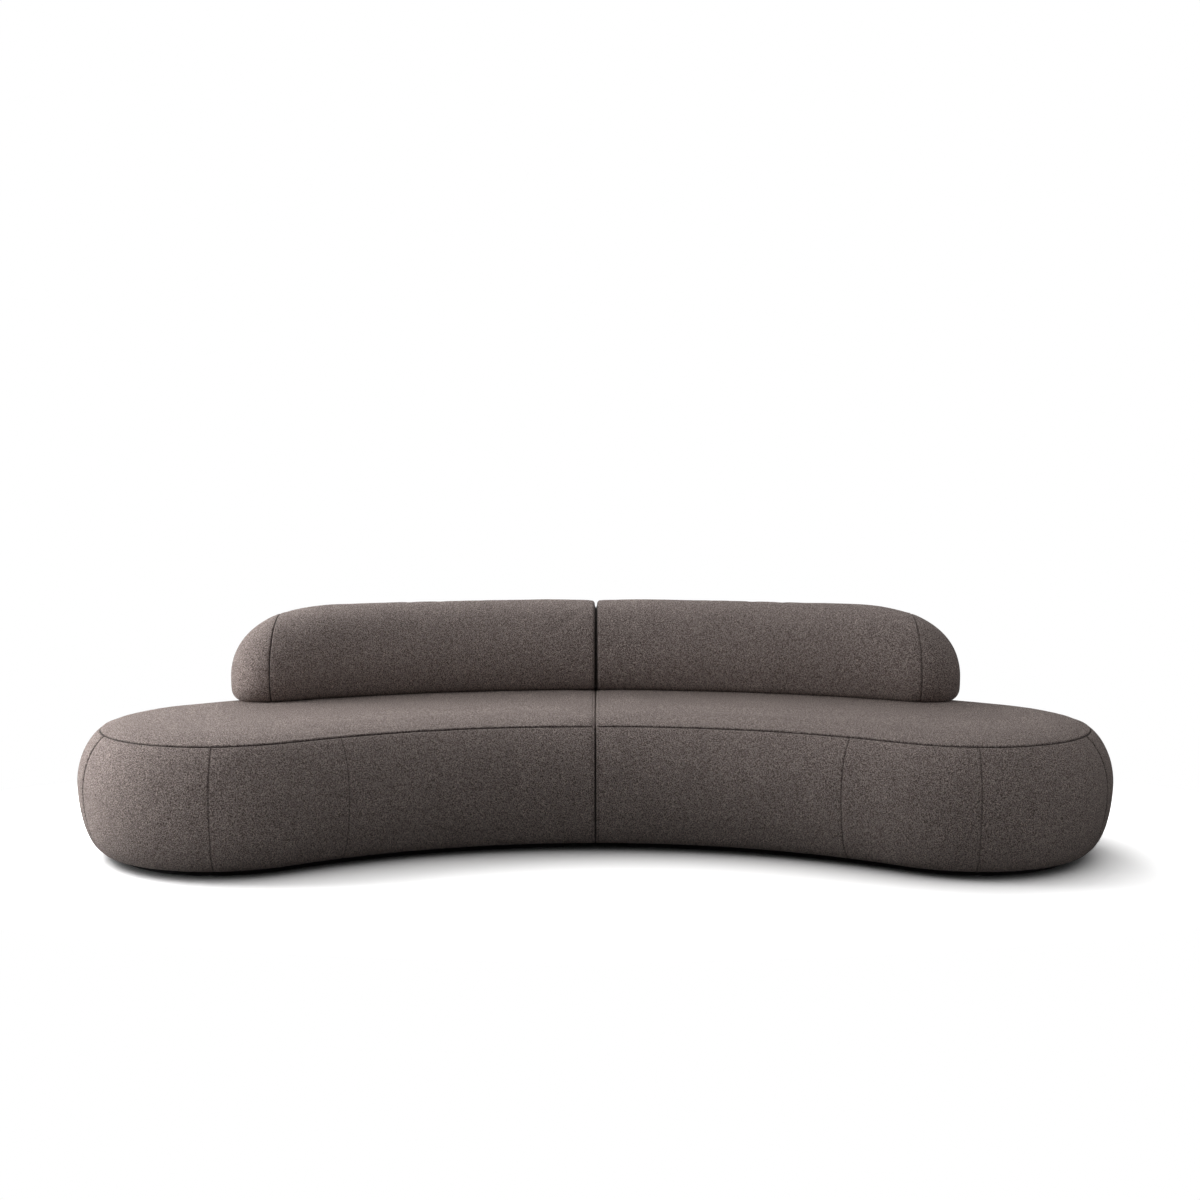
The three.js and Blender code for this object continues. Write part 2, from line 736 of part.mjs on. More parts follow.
function seatPieces() {
  const jointBoardX = frameJointOffset + ribThickness / 2;
  const ribMiddle = (baseBoardTop + topBoardBottom) / 2;
  const jointBoard = ribGeometry().translate(-jointBoardX, curveCentreY + arcRadius, ribMiddle);
  const pieces = [
    ["seat_cover", "boucle", seatCoverGeometry()],
    ["seat_top_foam", "foam", seatTopFoamGeometry()],
    ["seat_wall_foam", "foam", seatWallFoamGeometry()],
    ["base_board", "plywood", boardRing(baseBoardBottom, baseBoardTop)],
    ["top_board", "plywood", cutAway(boardRing(topBoardBottom, deckHeight), postCuts())],
    ["frame_wall", "plywood", frameWallGeometry()],
    ["joint_board", "plywood", jointBoard],
    ["plinth", "black", plinthGeometry()],
    ["dust_cloth", "black", dustClothGeometry()],
  ];
  [...ribBayShares.map((bay) => bay * bayAngle), halfArcAngle].forEach((angle, i) => {
    pieces.push([`rib_${i + 1}`, "plywood", turnedTo(ribGeometry(), arcRadius, angle, ribMiddle)]);
  });
  strapBayShares.forEach((bay, i) => {
    const strap = turnedTo(strapGeometry(), arcRadius, bay * bayAngle, strapTop - strapThickness / 2);
    pieces.push([`strap_${i + 1}`, "webbing", strap]);
  });
  glideStations().forEach((station, i) => {
    const plan = station.plan(plinthInset + plinthWidth / 2);
    pieces.push([`glide_${i + 1}`, "nylon", glideGeometry().translate(plan.x, plan.y, glideHeight / 2)]);
  });
  return pieces;
}

function backPieces() {
  return [
    ["back_cover", "boucle", backCoverGeometry()],
    ["back_foam", "foam", backFoamGeometry()],
    ["back_board", "plywood", cutAway(backBoardGeometry(), postCuts())],
    ["back_spine", "plywood", spineGeometry()],
    ...gussetBayShares.map((bay, i) => [`back_gusset_${i + 1}`, "plywood", gussetGeometry(bay)]),
    ...postBayShares.map((bay, i) => [`back_post_${i + 1}`, "steel", postGeometry(bay)]),
  ];
}

// The plates join the two modules from below, across the joint.
function joiningPlate(name, side) {
  const y = curveCentreY + arcRadius + side * (seatHalfWidth - joiningPlateInset);
  const height = hemHeight - clearance - joiningPlateThickness / 2;
  const plate = new THREE.Mesh(
    new THREE.BoxGeometry(joiningPlateLength, joiningPlateWidth, joiningPlateThickness),
    material.steel.clone(),
  );
  plate.name = name;
  plate.position.set(0, y, height);
  return plate;
}

function sofaModule(side, pieces) {
  const group = new THREE.Group();
  for (const [name, look, left] of pieces) {
    const geometry = side === "left" ? left : mirrored(left);
    geometry.computeVertexNormals();
    const mesh = new THREE.Mesh(geometry, material[look].clone());
    mesh.name = `${side}_${name}`;
    group.add(mesh);
  }
  return group;
}

const modulePieces = [...seatPieces(), ...backPieces()];
const sofa = new THREE.Group();
sofa.add(sofaModule("left", modulePieces));
sofa.add(sofaModule("right", modulePieces));
sofa.add(joiningPlate("joining_plate_front", -1));
sofa.add(joiningPlate("joining_plate_rear", 1));

export default sofa;
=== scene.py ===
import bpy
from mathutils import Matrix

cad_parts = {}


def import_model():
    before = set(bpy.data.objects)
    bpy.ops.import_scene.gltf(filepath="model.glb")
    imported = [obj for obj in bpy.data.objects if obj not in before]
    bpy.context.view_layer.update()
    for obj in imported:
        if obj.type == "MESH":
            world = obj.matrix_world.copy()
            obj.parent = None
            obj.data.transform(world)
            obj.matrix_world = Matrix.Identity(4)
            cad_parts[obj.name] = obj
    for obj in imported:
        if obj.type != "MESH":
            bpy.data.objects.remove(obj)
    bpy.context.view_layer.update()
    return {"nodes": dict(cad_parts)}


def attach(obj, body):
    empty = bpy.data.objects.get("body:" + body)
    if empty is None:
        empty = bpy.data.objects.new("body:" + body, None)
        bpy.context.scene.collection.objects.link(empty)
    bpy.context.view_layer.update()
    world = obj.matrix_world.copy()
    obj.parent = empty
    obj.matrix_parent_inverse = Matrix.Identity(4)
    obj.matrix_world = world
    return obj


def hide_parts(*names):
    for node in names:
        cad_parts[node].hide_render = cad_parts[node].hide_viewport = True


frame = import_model()

import math

import bpy
import numpy as np
from mathutils import Vector
from mathutils.kdtree import KDTree

# A curved two-module sofa in taupe boucle, in a bright studio.
# Sizes are in millimetres, and become metres where a mesh is made.

MM = 0.001

# Plan and section of the seat
ARC_RADIUS = 1960.0
HALF_ARC = math.radians(35.16)
SEAT_HALF_WIDTH = 467.0
SEAT_HEIGHT = 415.0
SEAT_CROWN = 6.0
BULGE_HEIGHT = 232.0
HEM_HEIGHT = 22.0
UPPER_ROUND = 135.0
LOWER_ROUND = 84.0
CURVE_CENTRE_Y = -ARC_RADIUS * (1 + math.cos(HALF_ARC)) / 2
END_CENTRE = (
    -ARC_RADIUS * math.sin(HALF_ARC),
    CURVE_CENTRE_Y + ARC_RADIUS * math.cos(HALF_ARC),
)

# Hem under the seat
HEM_TURN = 50.0
HEM_EDGE = 2.0
RECESS_HEIGHT = 26.35

# Joint of the seats
SEAT_JOINT_FACE = 1.5
SEAT_JOINT_ROUND = 8.0
PARALLEL_REACH = 25.0
RADIAL_REACH = 300.0

# Seams of the seat
TOP_SEAM_INSET = 69.0
WALL_SEAM_ANGLE = math.radians(29)
END_SEAM_BEARINGS = [math.radians(93.4), math.radians(31), math.radians(-30)]

# Backrest
BACK_THICKNESS = 258.0
BACK_REAR_RADIUS = 2375.0
BACK_FRONT_RADIUS = BACK_REAR_RADIUS - BACK_THICKNESS
BACK_MIDDLE_RADIUS = BACK_REAR_RADIUS - BACK_THICKNESS / 2
BACK_RISE = 304.0
BACK_CREST = 188.0
BACK_CREST_SHARE = BACK_CREST / BACK_THICKNESS
BACK_BELLY = 90.0
BACK_BELLY_STRAIGHT = 10.0
BACK_REAR_ROUND = 70.0
BACK_FRONT_UNDERCUT = 33.0
BACK_REAR_UNDERCUT = 25.0
BACK_REAR_FOOT = 60.0
BACK_REAR_LIFT = 16.0
BACK_LIFT_SHARE = 0.55
BACK_SEAT_GAP = 1.2
BACK_END_REACH = 1210.0
BACK_END_FALL = 340.0
BACK_FALL_POWER = 2.4
BACK_END_BELLY = 76.0
BACK_TIP_UNDERCUT = 62.0
BACK_TIP_FOOT = 52.0
BACK_END_PANEL = 149.0
BACK_JOINT_FACE = 4.0
BACK_JOINT_ROUND = 12.0
BACK_TOP_EASE = 5.5
BACK_TOP_EASE_REACH = 65.0
BACK_END_CENTRE_REACH = BACK_END_REACH - BACK_THICKNESS / 2
BACK_END_ANGLE = math.asin(BACK_END_CENTRE_REACH / BACK_MIDDLE_RADIUS)
BACK_END_CENTRE_Y = CURVE_CENTRE_Y + BACK_MIDDLE_RADIUS * math.cos(BACK_END_ANGLE)

# Joint faces are padded, and touch behind their rounded edges, which are darkened with painted
# shade
SEAT_FACE_BULGE = 1.4
BACK_FACE_BULGE = 3.9
FACE_WAVE = 1.2
FACE_WAVE_PITCH = 55.0
FACE_EDGE = 9.0
SEAT_FACE_COLUMNS = 60
BACK_FACE_RINGS = 12
FACE_RING_POWER = 1.8
BACK_FACE_EDGE_SHARE = 0.12
BACK_FACE_FOOT_SHARE = 0.03
BACK_FACE_FOOT_HEIGHT_SHARE = 0.3
FACE_PAINTED_SHADE = 0.85
TOP_FACE_PAINTED_SHADE_SHARE = 0.35
TURNED_IN_POWER = 0.7

# Fineness of the skins, and the slack and the decimals with which places are compared
SLACK = 1.0
SAME_DECIMALS = 3
STEP = 7.0
TOP_STEP = 11.0
SEAM_STEPS = [0.0, 0.8, 1.6, 2.6, 4.2, 6.6, 10.0, 14.5]
QUARTER_SAMPLES = 4001
SEAT_EDGE_STEPS = 5
BACK_EDGE_STEPS = 6
BACK_CREST_STEPS = 32
BACK_REAR_STEPS = 20
BACK_FOOT_STEPS = 12
BACK_UNDER_STEPS = 30
BACK_BELLY_STEPS = 2
BACK_TIP_STEPS = 33

# Depths and widths of the seams, and the painted shade in them
CREASE_DEPTH = 3.6
CREASE_WIDTH = 2.3
SHOULDER_DEPTH = 1.2
SHOULDER_WIDTH = 9.0
WELT_HEIGHT = 2.2
WELT_PLACE = 5.0
WELT_WIDTH = 2.4
PAINTED_SEAM_SHADE_WIDTH = 2.6
TOP_SEAM_WELT = 0.4
BACK_SEAM_WELT = 0.3
# Painted shade in the backs' end seams: more on the left back than on the right
LEFT_BACK_SEAM_PAINTED_SHADE = 1.0
RIGHT_BACK_SEAM_PAINTED_SHADE = 0.5
FOLDED_SEAM_SHARE = 0.6
FOLDED_SEAM_WELT = 1.0
FOLDED_SEAM_PAINTED_SHADE = 0.55
OPEN_SEAM_SHARE = 1.5
OPEN_SEAM_WIDENING = 2.3
STRIP_SEAM_SHARE = 0.45
BACK_STRIP_SHARE = 0.15
SEAM_FOOT = 6.0

# Gathers beside the seams
PUCKER_DEPTH = 0.45
PUCKER_PITCH = 17.0
PUCKER_WIDTH = 14.0
PUCKER_WANDER = 3.0
PUCKER_WANDER_PITCHES = 3
PUCKER_CHANGE = 60.0
PUCKER_SHIFT = 7.0

# Unevenness of the covers: height and length of each wave, and where it starts above the hem
UNEVENNESS = [(0.9, 170.0), (0.45, 60.0)]
UNEVEN_FOOT = 12.0

# Noise: the length of its table, the factors of its cells' numbers, and its seeds
NOISE_VALUES = 4096
NOISE_FACTORS = (73856093, 19349663, 83492791)
TOP_SEAM_SEED = 11
WALL_SEAM_SEED = 12
BACK_SEAM_SEED = 21
SEAT_SEED = 31
BACK_SEED = 41

# Cloth simulation: how the cover swells between the places where it is held
SWELL_VOXEL = 14.0
SWELL_HELD = 9.0
# Points with more painted seam shade than this count as sewn
SWELL_SEWN_SHADE = 0.3
SWELL_FRAMES = 20
SWELL_CAP = 6.0
SWELL_PRESSURE = 4.0
SWELL_EVENING = 120
SWELL_NEAREST = 6
SWELL_LEAST_SHARE = 1e-6
SWELL_JOINT_REACH = (14.0, 110.0)
SWELL_FOOT_REACH = (10.0, 60.0)

# Grain of the boucle: scales per metre, depths and shifts in metres, and colours on the screen,
# darker in the gaps between the yarn partly as painted shade
BOUCLE_NUBS = 430.0
BOUCLE_NUB_RANGE = (0.28, 0.72)
BOUCLE_NUB_SHARE = 0.75
BOUCLE_LOOPS = [(260.0, 0.0), (305.0, 0.37)]
BOUCLE_YARN_WIDTH = 0.16
BOUCLE_WARP_SCALE = 250.0
BOUCLE_WARP = 0.0032
BOUCLE_TWIST_SCALE = 1000.0
BOUCLE_TWIST_HEIGHT = 0.2
BOUCLE_TWIST_COLOUR = 0.15
BOUCLE_DEPTH = 0.003
# Colours from the low gaps to the raised yarn: partly the yarn's own tone, partly painted shade in
# the gaps
BOUCLE_COLOURS_WITH_GAP_SHADE = [(0.1, (68, 59, 56)), (0.5, (142, 128, 124)), (0.9, (219, 203, 196))]
BOUCLE_PATCH_SCALE = 7.0
BOUCLE_PATCH_RANGE = (0.3, 0.7)
BOUCLE_PATCH_SHADES = (0.975, 1.025)
BOUCLE_SEAM_SHADE = 0.2
BOUCLE_ROUGHNESS = (1.0, 0.86)
BOUCLE_SHEEN_TINT = (205, 196, 190)

# Grain of the wood, the near-black plinth, nylon and steel: the noise values between which their
# colours run
GRAIN_RANGE = (0.3, 0.7)

# Studio, in metres: the floor is lit near the sofa, with painted shadow from ambient occlusion, and
# white beyond, and the light comes from above
FLOOR_REACH = 30.0
FLOOR_SHADOW_REACH = 0.4
FLOOR_SHADOW_SAMPLES = 16
FLOOR_SHADOW_POWER = 0.75
FLOOR_GAIN = 3.3
FLOOR_NEAR = (1.9, 1.0)
FLOOR_FADE = (0.95, 1.35)
FLOOR_BOUNCE = 0.06
ZENITH_LIGHT = 0.565
# Soft boxes: place, what it faces, width and height, and power in watts
LAMPS = {
    "over_rear": ((-0.7, 2.8, 2.8), (-0.1, 0.3, 0.3), (4.2, 1.6), 57),
    "over_rear_left": ((-2.0, 2.6, 3.0), (-0.4, 0.3, 0.3), (3.0, 1.6), 18),
    "left_near": ((-2.9, -0.1, 1.5), (-1.4, -0.2, 0.2), (1.4, 1.4), 42),
    "left_low": ((-2.6, -0.5, 0.16), (-1.4, -0.3, 0.2), (1.6, 0.28), 12),
    "left_bounce": ((-1.3, -1.3, 0.01), (-1.3, -1.3, 1.0), (0.9, 0.8), 1.8),
    "right_bounce": ((2.0, -1.6, 0.16), (1.2, -0.4, 0.2), (1.4, 0.28), 1.4),
    "front_bounce": ((0.0, -2.2, 0.16), (0.0, 0.0, 0.2), (2.4, 0.28), 2.0),
}
CAMERA_PLACE = (0.014, -5.313, 1.25)
CAMERA_DIP = 5.23
CAMERA_LENS = 50.0
CAMERA_SENSOR = 36.0
WHITE = (1, 1, 1, 1)


# Noise on a seeded lattice, smooth between its cells


def smooth_step(share):
    """From 0 to 1, with a level start and end."""
    share = np.clip(share, 0, 1)
    return share * share * (3 - 2 * share)


def lattice_noise(points, cell, seed):
    """Smooth noise from -1 to 1 at points, with cells of one size."""
    table = np.random.default_rng(seed).uniform(-1, 1, NOISE_VALUES)
    at = points / cell
    low = np.floor(at).astype(np.int64)
    share = smooth_step(at - low)
    total = np.zeros(len(points))
    for corner in np.ndindex(2, 2, 2):
        key = np.bitwise_xor.reduce((low + corner) * NOISE_FACTORS, axis=1)
        weight = np.prod(np.where(corner, share, 1 - share), axis=1)
        total += weight * table[key % NOISE_VALUES]
    return total


# Steps along a line


def beside_seams(places, seams):
    """Places along a line, with steps that shrink towards each seam."""
    offsets = sorted({side * step for step in SEAM_STEPS for side in (-1, 1)})
    reach = SEAM_STEPS[-1] + SEAM_STEPS[1]
    kept = [p for p in places if all(abs(p - seam) > reach for seam in seams)]
    near = [seam + offset for seam in seams for offset in offsets]
    low, high = places[0], places[-1]
    return np.array(sorted(kept + [p for p in near if low <= p <= high]))


def quarter_lengths(across, up):
    """Turns of a quarter ellipse, and the length along it up to each."""
    turns = np.linspace(0, math.pi / 2, QUARTER_SAMPLES)
    spans = np.hypot(np.diff(across * np.cos(turns)), np.diff(up * np.sin(turns)))
    return turns, np.concatenate([[0], np.cumsum(spans)])


def quarter_turns(across, up, at_seam=None):
    """Turns that are evenly spaced along a quarter ellipse, and closer beside a seam."""
    turns, along = quarter_lengths(across, up)
    places = np.linspace(0, along[-1], max(2, round(along[-1] / STEP)) + 1)
    if at_seam is not None:
        places = beside_seams(places, [np.interp(at_seam, turns, along)])
    return np.interp(places, along, turns)


def joint_edge(face, radius, count):
    """Places and sinks of the rounded edge beside a joint face, from the face outwards."""
    turns = np.linspace(math.pi / 2, 0, count + 1)[:-1]
    places = [face + radius * (1 - math.sin(turn)) for turn in turns]
    return list(zip(places, [radius * (1 - math.cos(turn)) for turn in turns]))


# Seams


def crease(distance, share=1.0, welt=0.0):
    """Depth of a seam at a signed distance from it, with the welt on the positive side."""
    sharp = CREASE_DEPTH * np.exp(-((distance / CREASE_WIDTH) ** 2))
    soft = SHOULDER_DEPTH * np.exp(-np.abs(distance) / SHOULDER_WIDTH)
    fold = WELT_HEIGHT * np.exp(-(((distance - WELT_PLACE) / WELT_WIDTH) ** 2))
    return share * (sharp + soft) - welt * fold


def seam_painted_shade(distance, widening=1.0):
    """Painted shade of a seam at a distance from it."""
    return np.exp(-((distance / PAINTED_SEAM_SHADE_WIDTH / widening) ** 2))


def pucker(distance, along, seed):
    """Small gathers beside a seam, along it."""
    line = np.stack([along.ravel(), along.ravel() * 0, along.ravel() * 0], 1)
    wander = lattice_noise(line, PUCKER_PITCH * PUCKER_WANDER_PITCHES, seed)
    wave = np.sin(2 * math.pi * line[:, 0] / PUCKER_PITCH + PUCKER_WANDER * wander)
    size = 0.5 + 0.5 * lattice_noise(line + (0, PUCKER_SHIFT, 0), PUCKER_CHANGE, seed + 1)
    gathers = (PUCKER_DEPTH * size * wave).reshape(along.shape)
    return gathers * np.exp(-((distance / PUCKER_WIDTH) ** 2))


# Seat: its rows run from the middle of the underside, round the hem and the wall, and over the top


def seat_rows():
    """Kinds and turns of the rows, with each one's distance from the top seam along the section."""
    recess = LOWER_ROUND + HEM_TURN
    least = SEAT_JOINT_FACE + HEM_TURN
    rows = [
        ("flat", (SEAT_HALF_WIDTH, RECESS_HEIGHT, least)),
        ("flat", (recess, RECESS_HEIGHT, least)),
        ("flat", (recess, HEM_HEIGHT + HEM_EDGE, least)),
        ("flat", (recess - HEM_EDGE, HEM_HEIGHT, least - HEM_EDGE)),
    ]
    rise = SEAT_HEIGHT - BULGE_HEIGHT
    crown_span = SEAT_HALF_WIDTH - UPPER_ROUND
    seam_turn = math.acos(1 - TOP_SEAM_INSET / UPPER_ROUND)
    lower = quarter_turns(LOWER_ROUND, BULGE_HEIGHT - HEM_HEIGHT)
    upper = quarter_turns(UPPER_ROUND, rise, seam_turn)
    rows += [("lower", turn) for turn in lower[:0:-1]]
    rows += [("upper", turn) for turn in upper[:-1]]
    rows += [("crown", s) for s in np.linspace(0, 1, round(crown_span / TOP_STEP) + 1)]
    turns, along = quarter_lengths(UPPER_ROUND, rise)
    seam_along = np.interp(seam_turn, turns, along)
    from_seam = []
    for kind, value in rows:
        if kind == "upper":
            from_seam.append(np.interp(value, turns, along) - seam_along)
        elif kind == "crown":
            from_seam.append(along[-1] + value * crown_span - seam_along)
        else:
            from_seam.append(-seam_along - SLACK)
    return rows, np.array(from_seam)


def seat_row_place(row, sink):
    """Inset, height and least distance from the joint of one row, at each column's sink."""
    kind, value = row
    still = np.zeros_like(sink)
    if kind == "flat":
        inset, height, distance = value
        return still + inset, still + height, distance
    if kind == "lower":
        inset = LOWER_ROUND - (LOWER_ROUND - sink) * math.cos(value)
        return inset, still + BULGE_HEIGHT - (BULGE_HEIGHT - HEM_HEIGHT) * math.sin(value), 0
    if kind == "upper":
        inset = UPPER_ROUND - (UPPER_ROUND - sink) * math.cos(value)
        return inset, BULGE_HEIGHT + (SEAT_HEIGHT - BULGE_HEIGHT - sink) * math.sin(value), 0
    inset = still + UPPER_ROUND + (SEAT_HALF_WIDTH - UPPER_ROUND) * value
    return inset, SEAT_HEIGHT - sink + SEAT_CROWN * (1 - (1 - value) ** 2), 0


def seat_columns():
    """Columns of the left seat: side, place or bearing, and how far it sinks at the joint."""
    edge = SEAT_JOINT_FACE + SEAT_JOINT_ROUND
    last = ARC_RADIUS * math.sin(HALF_ARC)
    seam = ARC_RADIUS * math.sin(WALL_SEAM_ANGLE)
    places = np.linspace(edge, last, round((last - edge) / STEP) + 1)
    places = [p for p in beside_seams(places, [edge, seam]) if p >= edge]
    arc = joint_edge(SEAT_JOINT_FACE, SEAT_JOINT_ROUND, SEAT_EDGE_STEPS)
    arc += [(place, 0.0) for place in places]
    first = math.pi / 2 + HALF_ARC
    length = math.pi * SEAT_HALF_WIDTH
    along = np.linspace(0, length, round(length / STEP) + 1)
    seams = [(first - bearing) * SEAT_HALF_WIDTH for bearing in END_SEAM_BEARINGS]
    bearings = first - beside_seams(along, seams) / SEAT_HALF_WIDTH
    front = [(-1, place, sink) for place, sink in arc[:-1]]
    rear = [(1, place, sink) for place, sink in arc[:-1]]
    return np.array(front + [(0, bearing, 0.0) for bearing in bearings] + rear[::-1])


def seat_plan(columns, inset, least):
    """Plan points of all columns at an inset from the bulge."""
    side, place, _ = columns.T
    radius = ARC_RADIUS + side * (SEAT_HALF_WIDTH - inset)
    turn = smooth_step((place - PARALLEL_REACH) / (RADIAL_REACH - PARALLEL_REACH))
    x = np.maximum(place * (1 + turn * (radius / ARC_RADIUS - 1)), least)
    y = CURVE_CENTRE_Y + np.sqrt(np.maximum(radius**2 - x**2, 0))
    reach = SEAT_HALF_WIDTH - inset
    end_x = END_CENTRE[0] - np.cos(place) * reach
    end_y = END_CENTRE[1] - np.sin(place) * reach
    at_end = side == 0
    return np.where(at_end, end_x, -x), np.where(at_end, end_y, y)


def seat_points(rows, columns):
    """Points of the seat and their insets, row by row."""
    points, insets = [], []
    for row in rows:
        inset, height, least = seat_row_place(row, columns[:, 2])
        x, y = seat_plan(columns, inset, least)
        points.append(np.stack([x, y, height], 1))
        insets.append(inset)
    return np.array(points), np.array(insets)


def nearest_wall_seam(points, insets, columns):
    """Signed distance of each point from the nearest seam down the wall, and if that is open."""
    side, place, _ = columns.T
    on_arc = np.broadcast_to(side != 0, insets.shape)
    across, out = -points[..., 0], points[..., 1] - CURVE_CENTRE_Y
    wall = (np.arctan2(across, out) - WALL_SEAM_ANGLE) * np.hypot(across, out)
    wall = np.where(on_arc, wall, np.inf)
    is_open = np.zeros(insets.shape, bool)
    for number, bearing in enumerate(END_SEAM_BEARINGS):
        away = (bearing - place) * (SEAT_HALF_WIDTH - insets)
        nearer = ~on_arc & (np.abs(away) < np.abs(wall))
        wall = np.where(nearer, away, wall)
        is_open = np.where(nearer, number > 0, is_open)
    return wall, is_open


def seat_grid(wave_sign):
    """Points of one seat, row by row, and each one's depth in the seams, and its painted shade in
    the seams and at the joint.
    """
    rows, from_seam = seat_rows()
    columns = seat_columns()
    points, insets = seat_points(rows, columns)
    side, _, sink = columns.T
    on_arc = np.broadcast_to(side != 0, insets.shape)
    across, height = -points[..., 0], points[..., 2]
    edge = SEAT_JOINT_FACE + SEAT_JOINT_ROUND
    beyond_edge = ~on_arc | (across > edge)
    strip = np.where(on_arc, np.abs(across - edge) + sink / 2, np.inf)
    top = np.broadcast_to(from_seam[:, None], insets.shape)
    wall, is_open = nearest_wall_seam(points, insets, columns)
    is_wall = (top < 0) & (height > HEM_HEIGHT - SLACK)

    folded = crease(wall, FOLDED_SEAM_SHARE, FOLDED_SEAM_WELT)
    opened = crease(wall / OPEN_SEAM_WIDENING, OPEN_SEAM_SHARE)
    depths = [
        crease(top, welt=TOP_SEAM_WELT) * beyond_edge,
        np.where(is_open, opened, folded) * is_wall,
        crease(strip, STRIP_SEAM_SHARE),
    ]
    steps = np.diff(points[..., :2], axis=1, prepend=points[:, :1, :2])
    along = np.cumsum(np.hypot(steps[..., 0], steps[..., 1]), axis=1)
    gathers = pucker(top, along, TOP_SEAM_SEED) * beyond_edge
    gathers += pucker(wall, height, WALL_SEAM_SEED) * is_wall
    depth = np.where(height > HEM_HEIGHT + SEAM_FOOT, np.maximum.reduce(depths) - gathers, 0)

    # Painted shade: darker colour along the seams, and on the turned-in edges and the face at the
    # joint
    folded = FOLDED_SEAM_PAINTED_SHADE * seam_painted_shade(wall)
    opened = seam_painted_shade(wall, OPEN_SEAM_WIDENING)
    face_painted_shade = FACE_PAINTED_SHADE * np.where(from_seam[:, None] < 0, 1, TOP_FACE_PAINTED_SHADE_SHARE)
    painted_shades = [
        seam_painted_shade(top) * beyond_edge,
        np.where(is_open, opened, folded) * is_wall,
        STRIP_SEAM_SHARE * seam_painted_shade(strip),
        face_painted_shade * (sink / SEAT_JOINT_ROUND) ** TURNED_IN_POWER,
    ]
    face = seat_joint_face(points, wave_sign)
    none = np.zeros(face.shape[:2])
    return (
        np.concatenate([points, face], 1),
        np.concatenate([depth, none], 1),
        np.concatenate([np.maximum.reduce(painted_shades), none + face_painted_shade], 1),
    )


def face_wave(y, wave_sign):
    """A wave across a joint face, which the face of the other half follows."""
    return wave_sign * FACE_WAVE * np.sin(2 * math.pi * y / FACE_WAVE_PITCH)


def seat_joint_face(points, wave_sign):
    """The padded face at the joint, between the last column at the rear and the first in front."""
    shares = np.linspace(0, 1, SEAT_FACE_COLUMNS + 2)[1:-1, None]
    shares = (1 - np.cos(math.pi * shares)) / 2
    start, end = points[:, -1:], points[:, :1]
    face = start + (end - start) * shares[None]
    top = points[-1, 0, 2]
    edge = np.minimum.reduce(
        [
            np.abs(face[..., 1] - start[..., 1]),
            np.abs(face[..., 1] - end[..., 1]),
            top - face[..., 2],
            face[..., 2] - HEM_HEIGHT,
        ]
    )
    padded = face[..., 0] > -SEAT_JOINT_FACE - SEAT_JOINT_ROUND
    bulge = SEAT_FACE_BULGE + face_wave(face[..., 1], wave_sign)
    face[..., 0] += np.where(padded, bulge * smooth_step(edge / FACE_EDGE), 0)
    return face


# Backrest, in sections parallel to the joint


def back_plan(reach):
    """Front and rear edge of the section at a reach from the joint."""
    across = math.sqrt(max(0, (BACK_THICKNESS / 2) ** 2 - (reach - BACK_END_CENTRE_REACH) ** 2))
    front = BACK_END_CENTRE_Y - across
    rear = BACK_END_CENTRE_Y + across
    if reach < BACK_FRONT_RADIUS * math.sin(BACK_END_ANGLE):
        front = CURVE_CENTRE_Y + math.sqrt(BACK_FRONT_RADIUS**2 - reach**2)
    if reach < BACK_REAR_RADIUS * math.sin(BACK_END_ANGLE):
        rear = CURVE_CENTRE_Y + math.sqrt(BACK_REAR_RADIUS**2 - reach**2)
    return front, rear


def seat_surface(inset):
    """Height of the seat at an inset."""
    turn = np.arccos(np.clip(1 - inset / UPPER_ROUND, -1, 1))
    rounded = BULGE_HEIGHT + (SEAT_HEIGHT - BULGE_HEIGHT) * np.sin(turn)
    share = (inset - UPPER_ROUND) / (SEAT_HALF_WIDTH - UPPER_ROUND)
    crown = SEAT_HEIGHT + SEAT_CROWN * (1 - (1 - share) ** 2)
    return np.where(inset >= UPPER_ROUND, crown, rounded)


def back_underside(reach, y, lift):
    """The underside follows the seat, and turns up at the tip."""
    radius = np.hypot(reach, y - CURVE_CENTRE_Y)
    inset = SEAT_HALF_WIDTH - np.abs(radius - ARC_RADIUS)
    rest = seat_surface(inset) + BACK_SEAT_GAP + lift
    missing = 1 - min(1, max(0, (BACK_END_REACH - reach) / BACK_TIP_UNDERCUT))
    turn_up = 1 - math.sqrt(1 - missing**2)
    return rest + (SEAT_HEIGHT + BACK_TIP_FOOT - rest) * turn_up


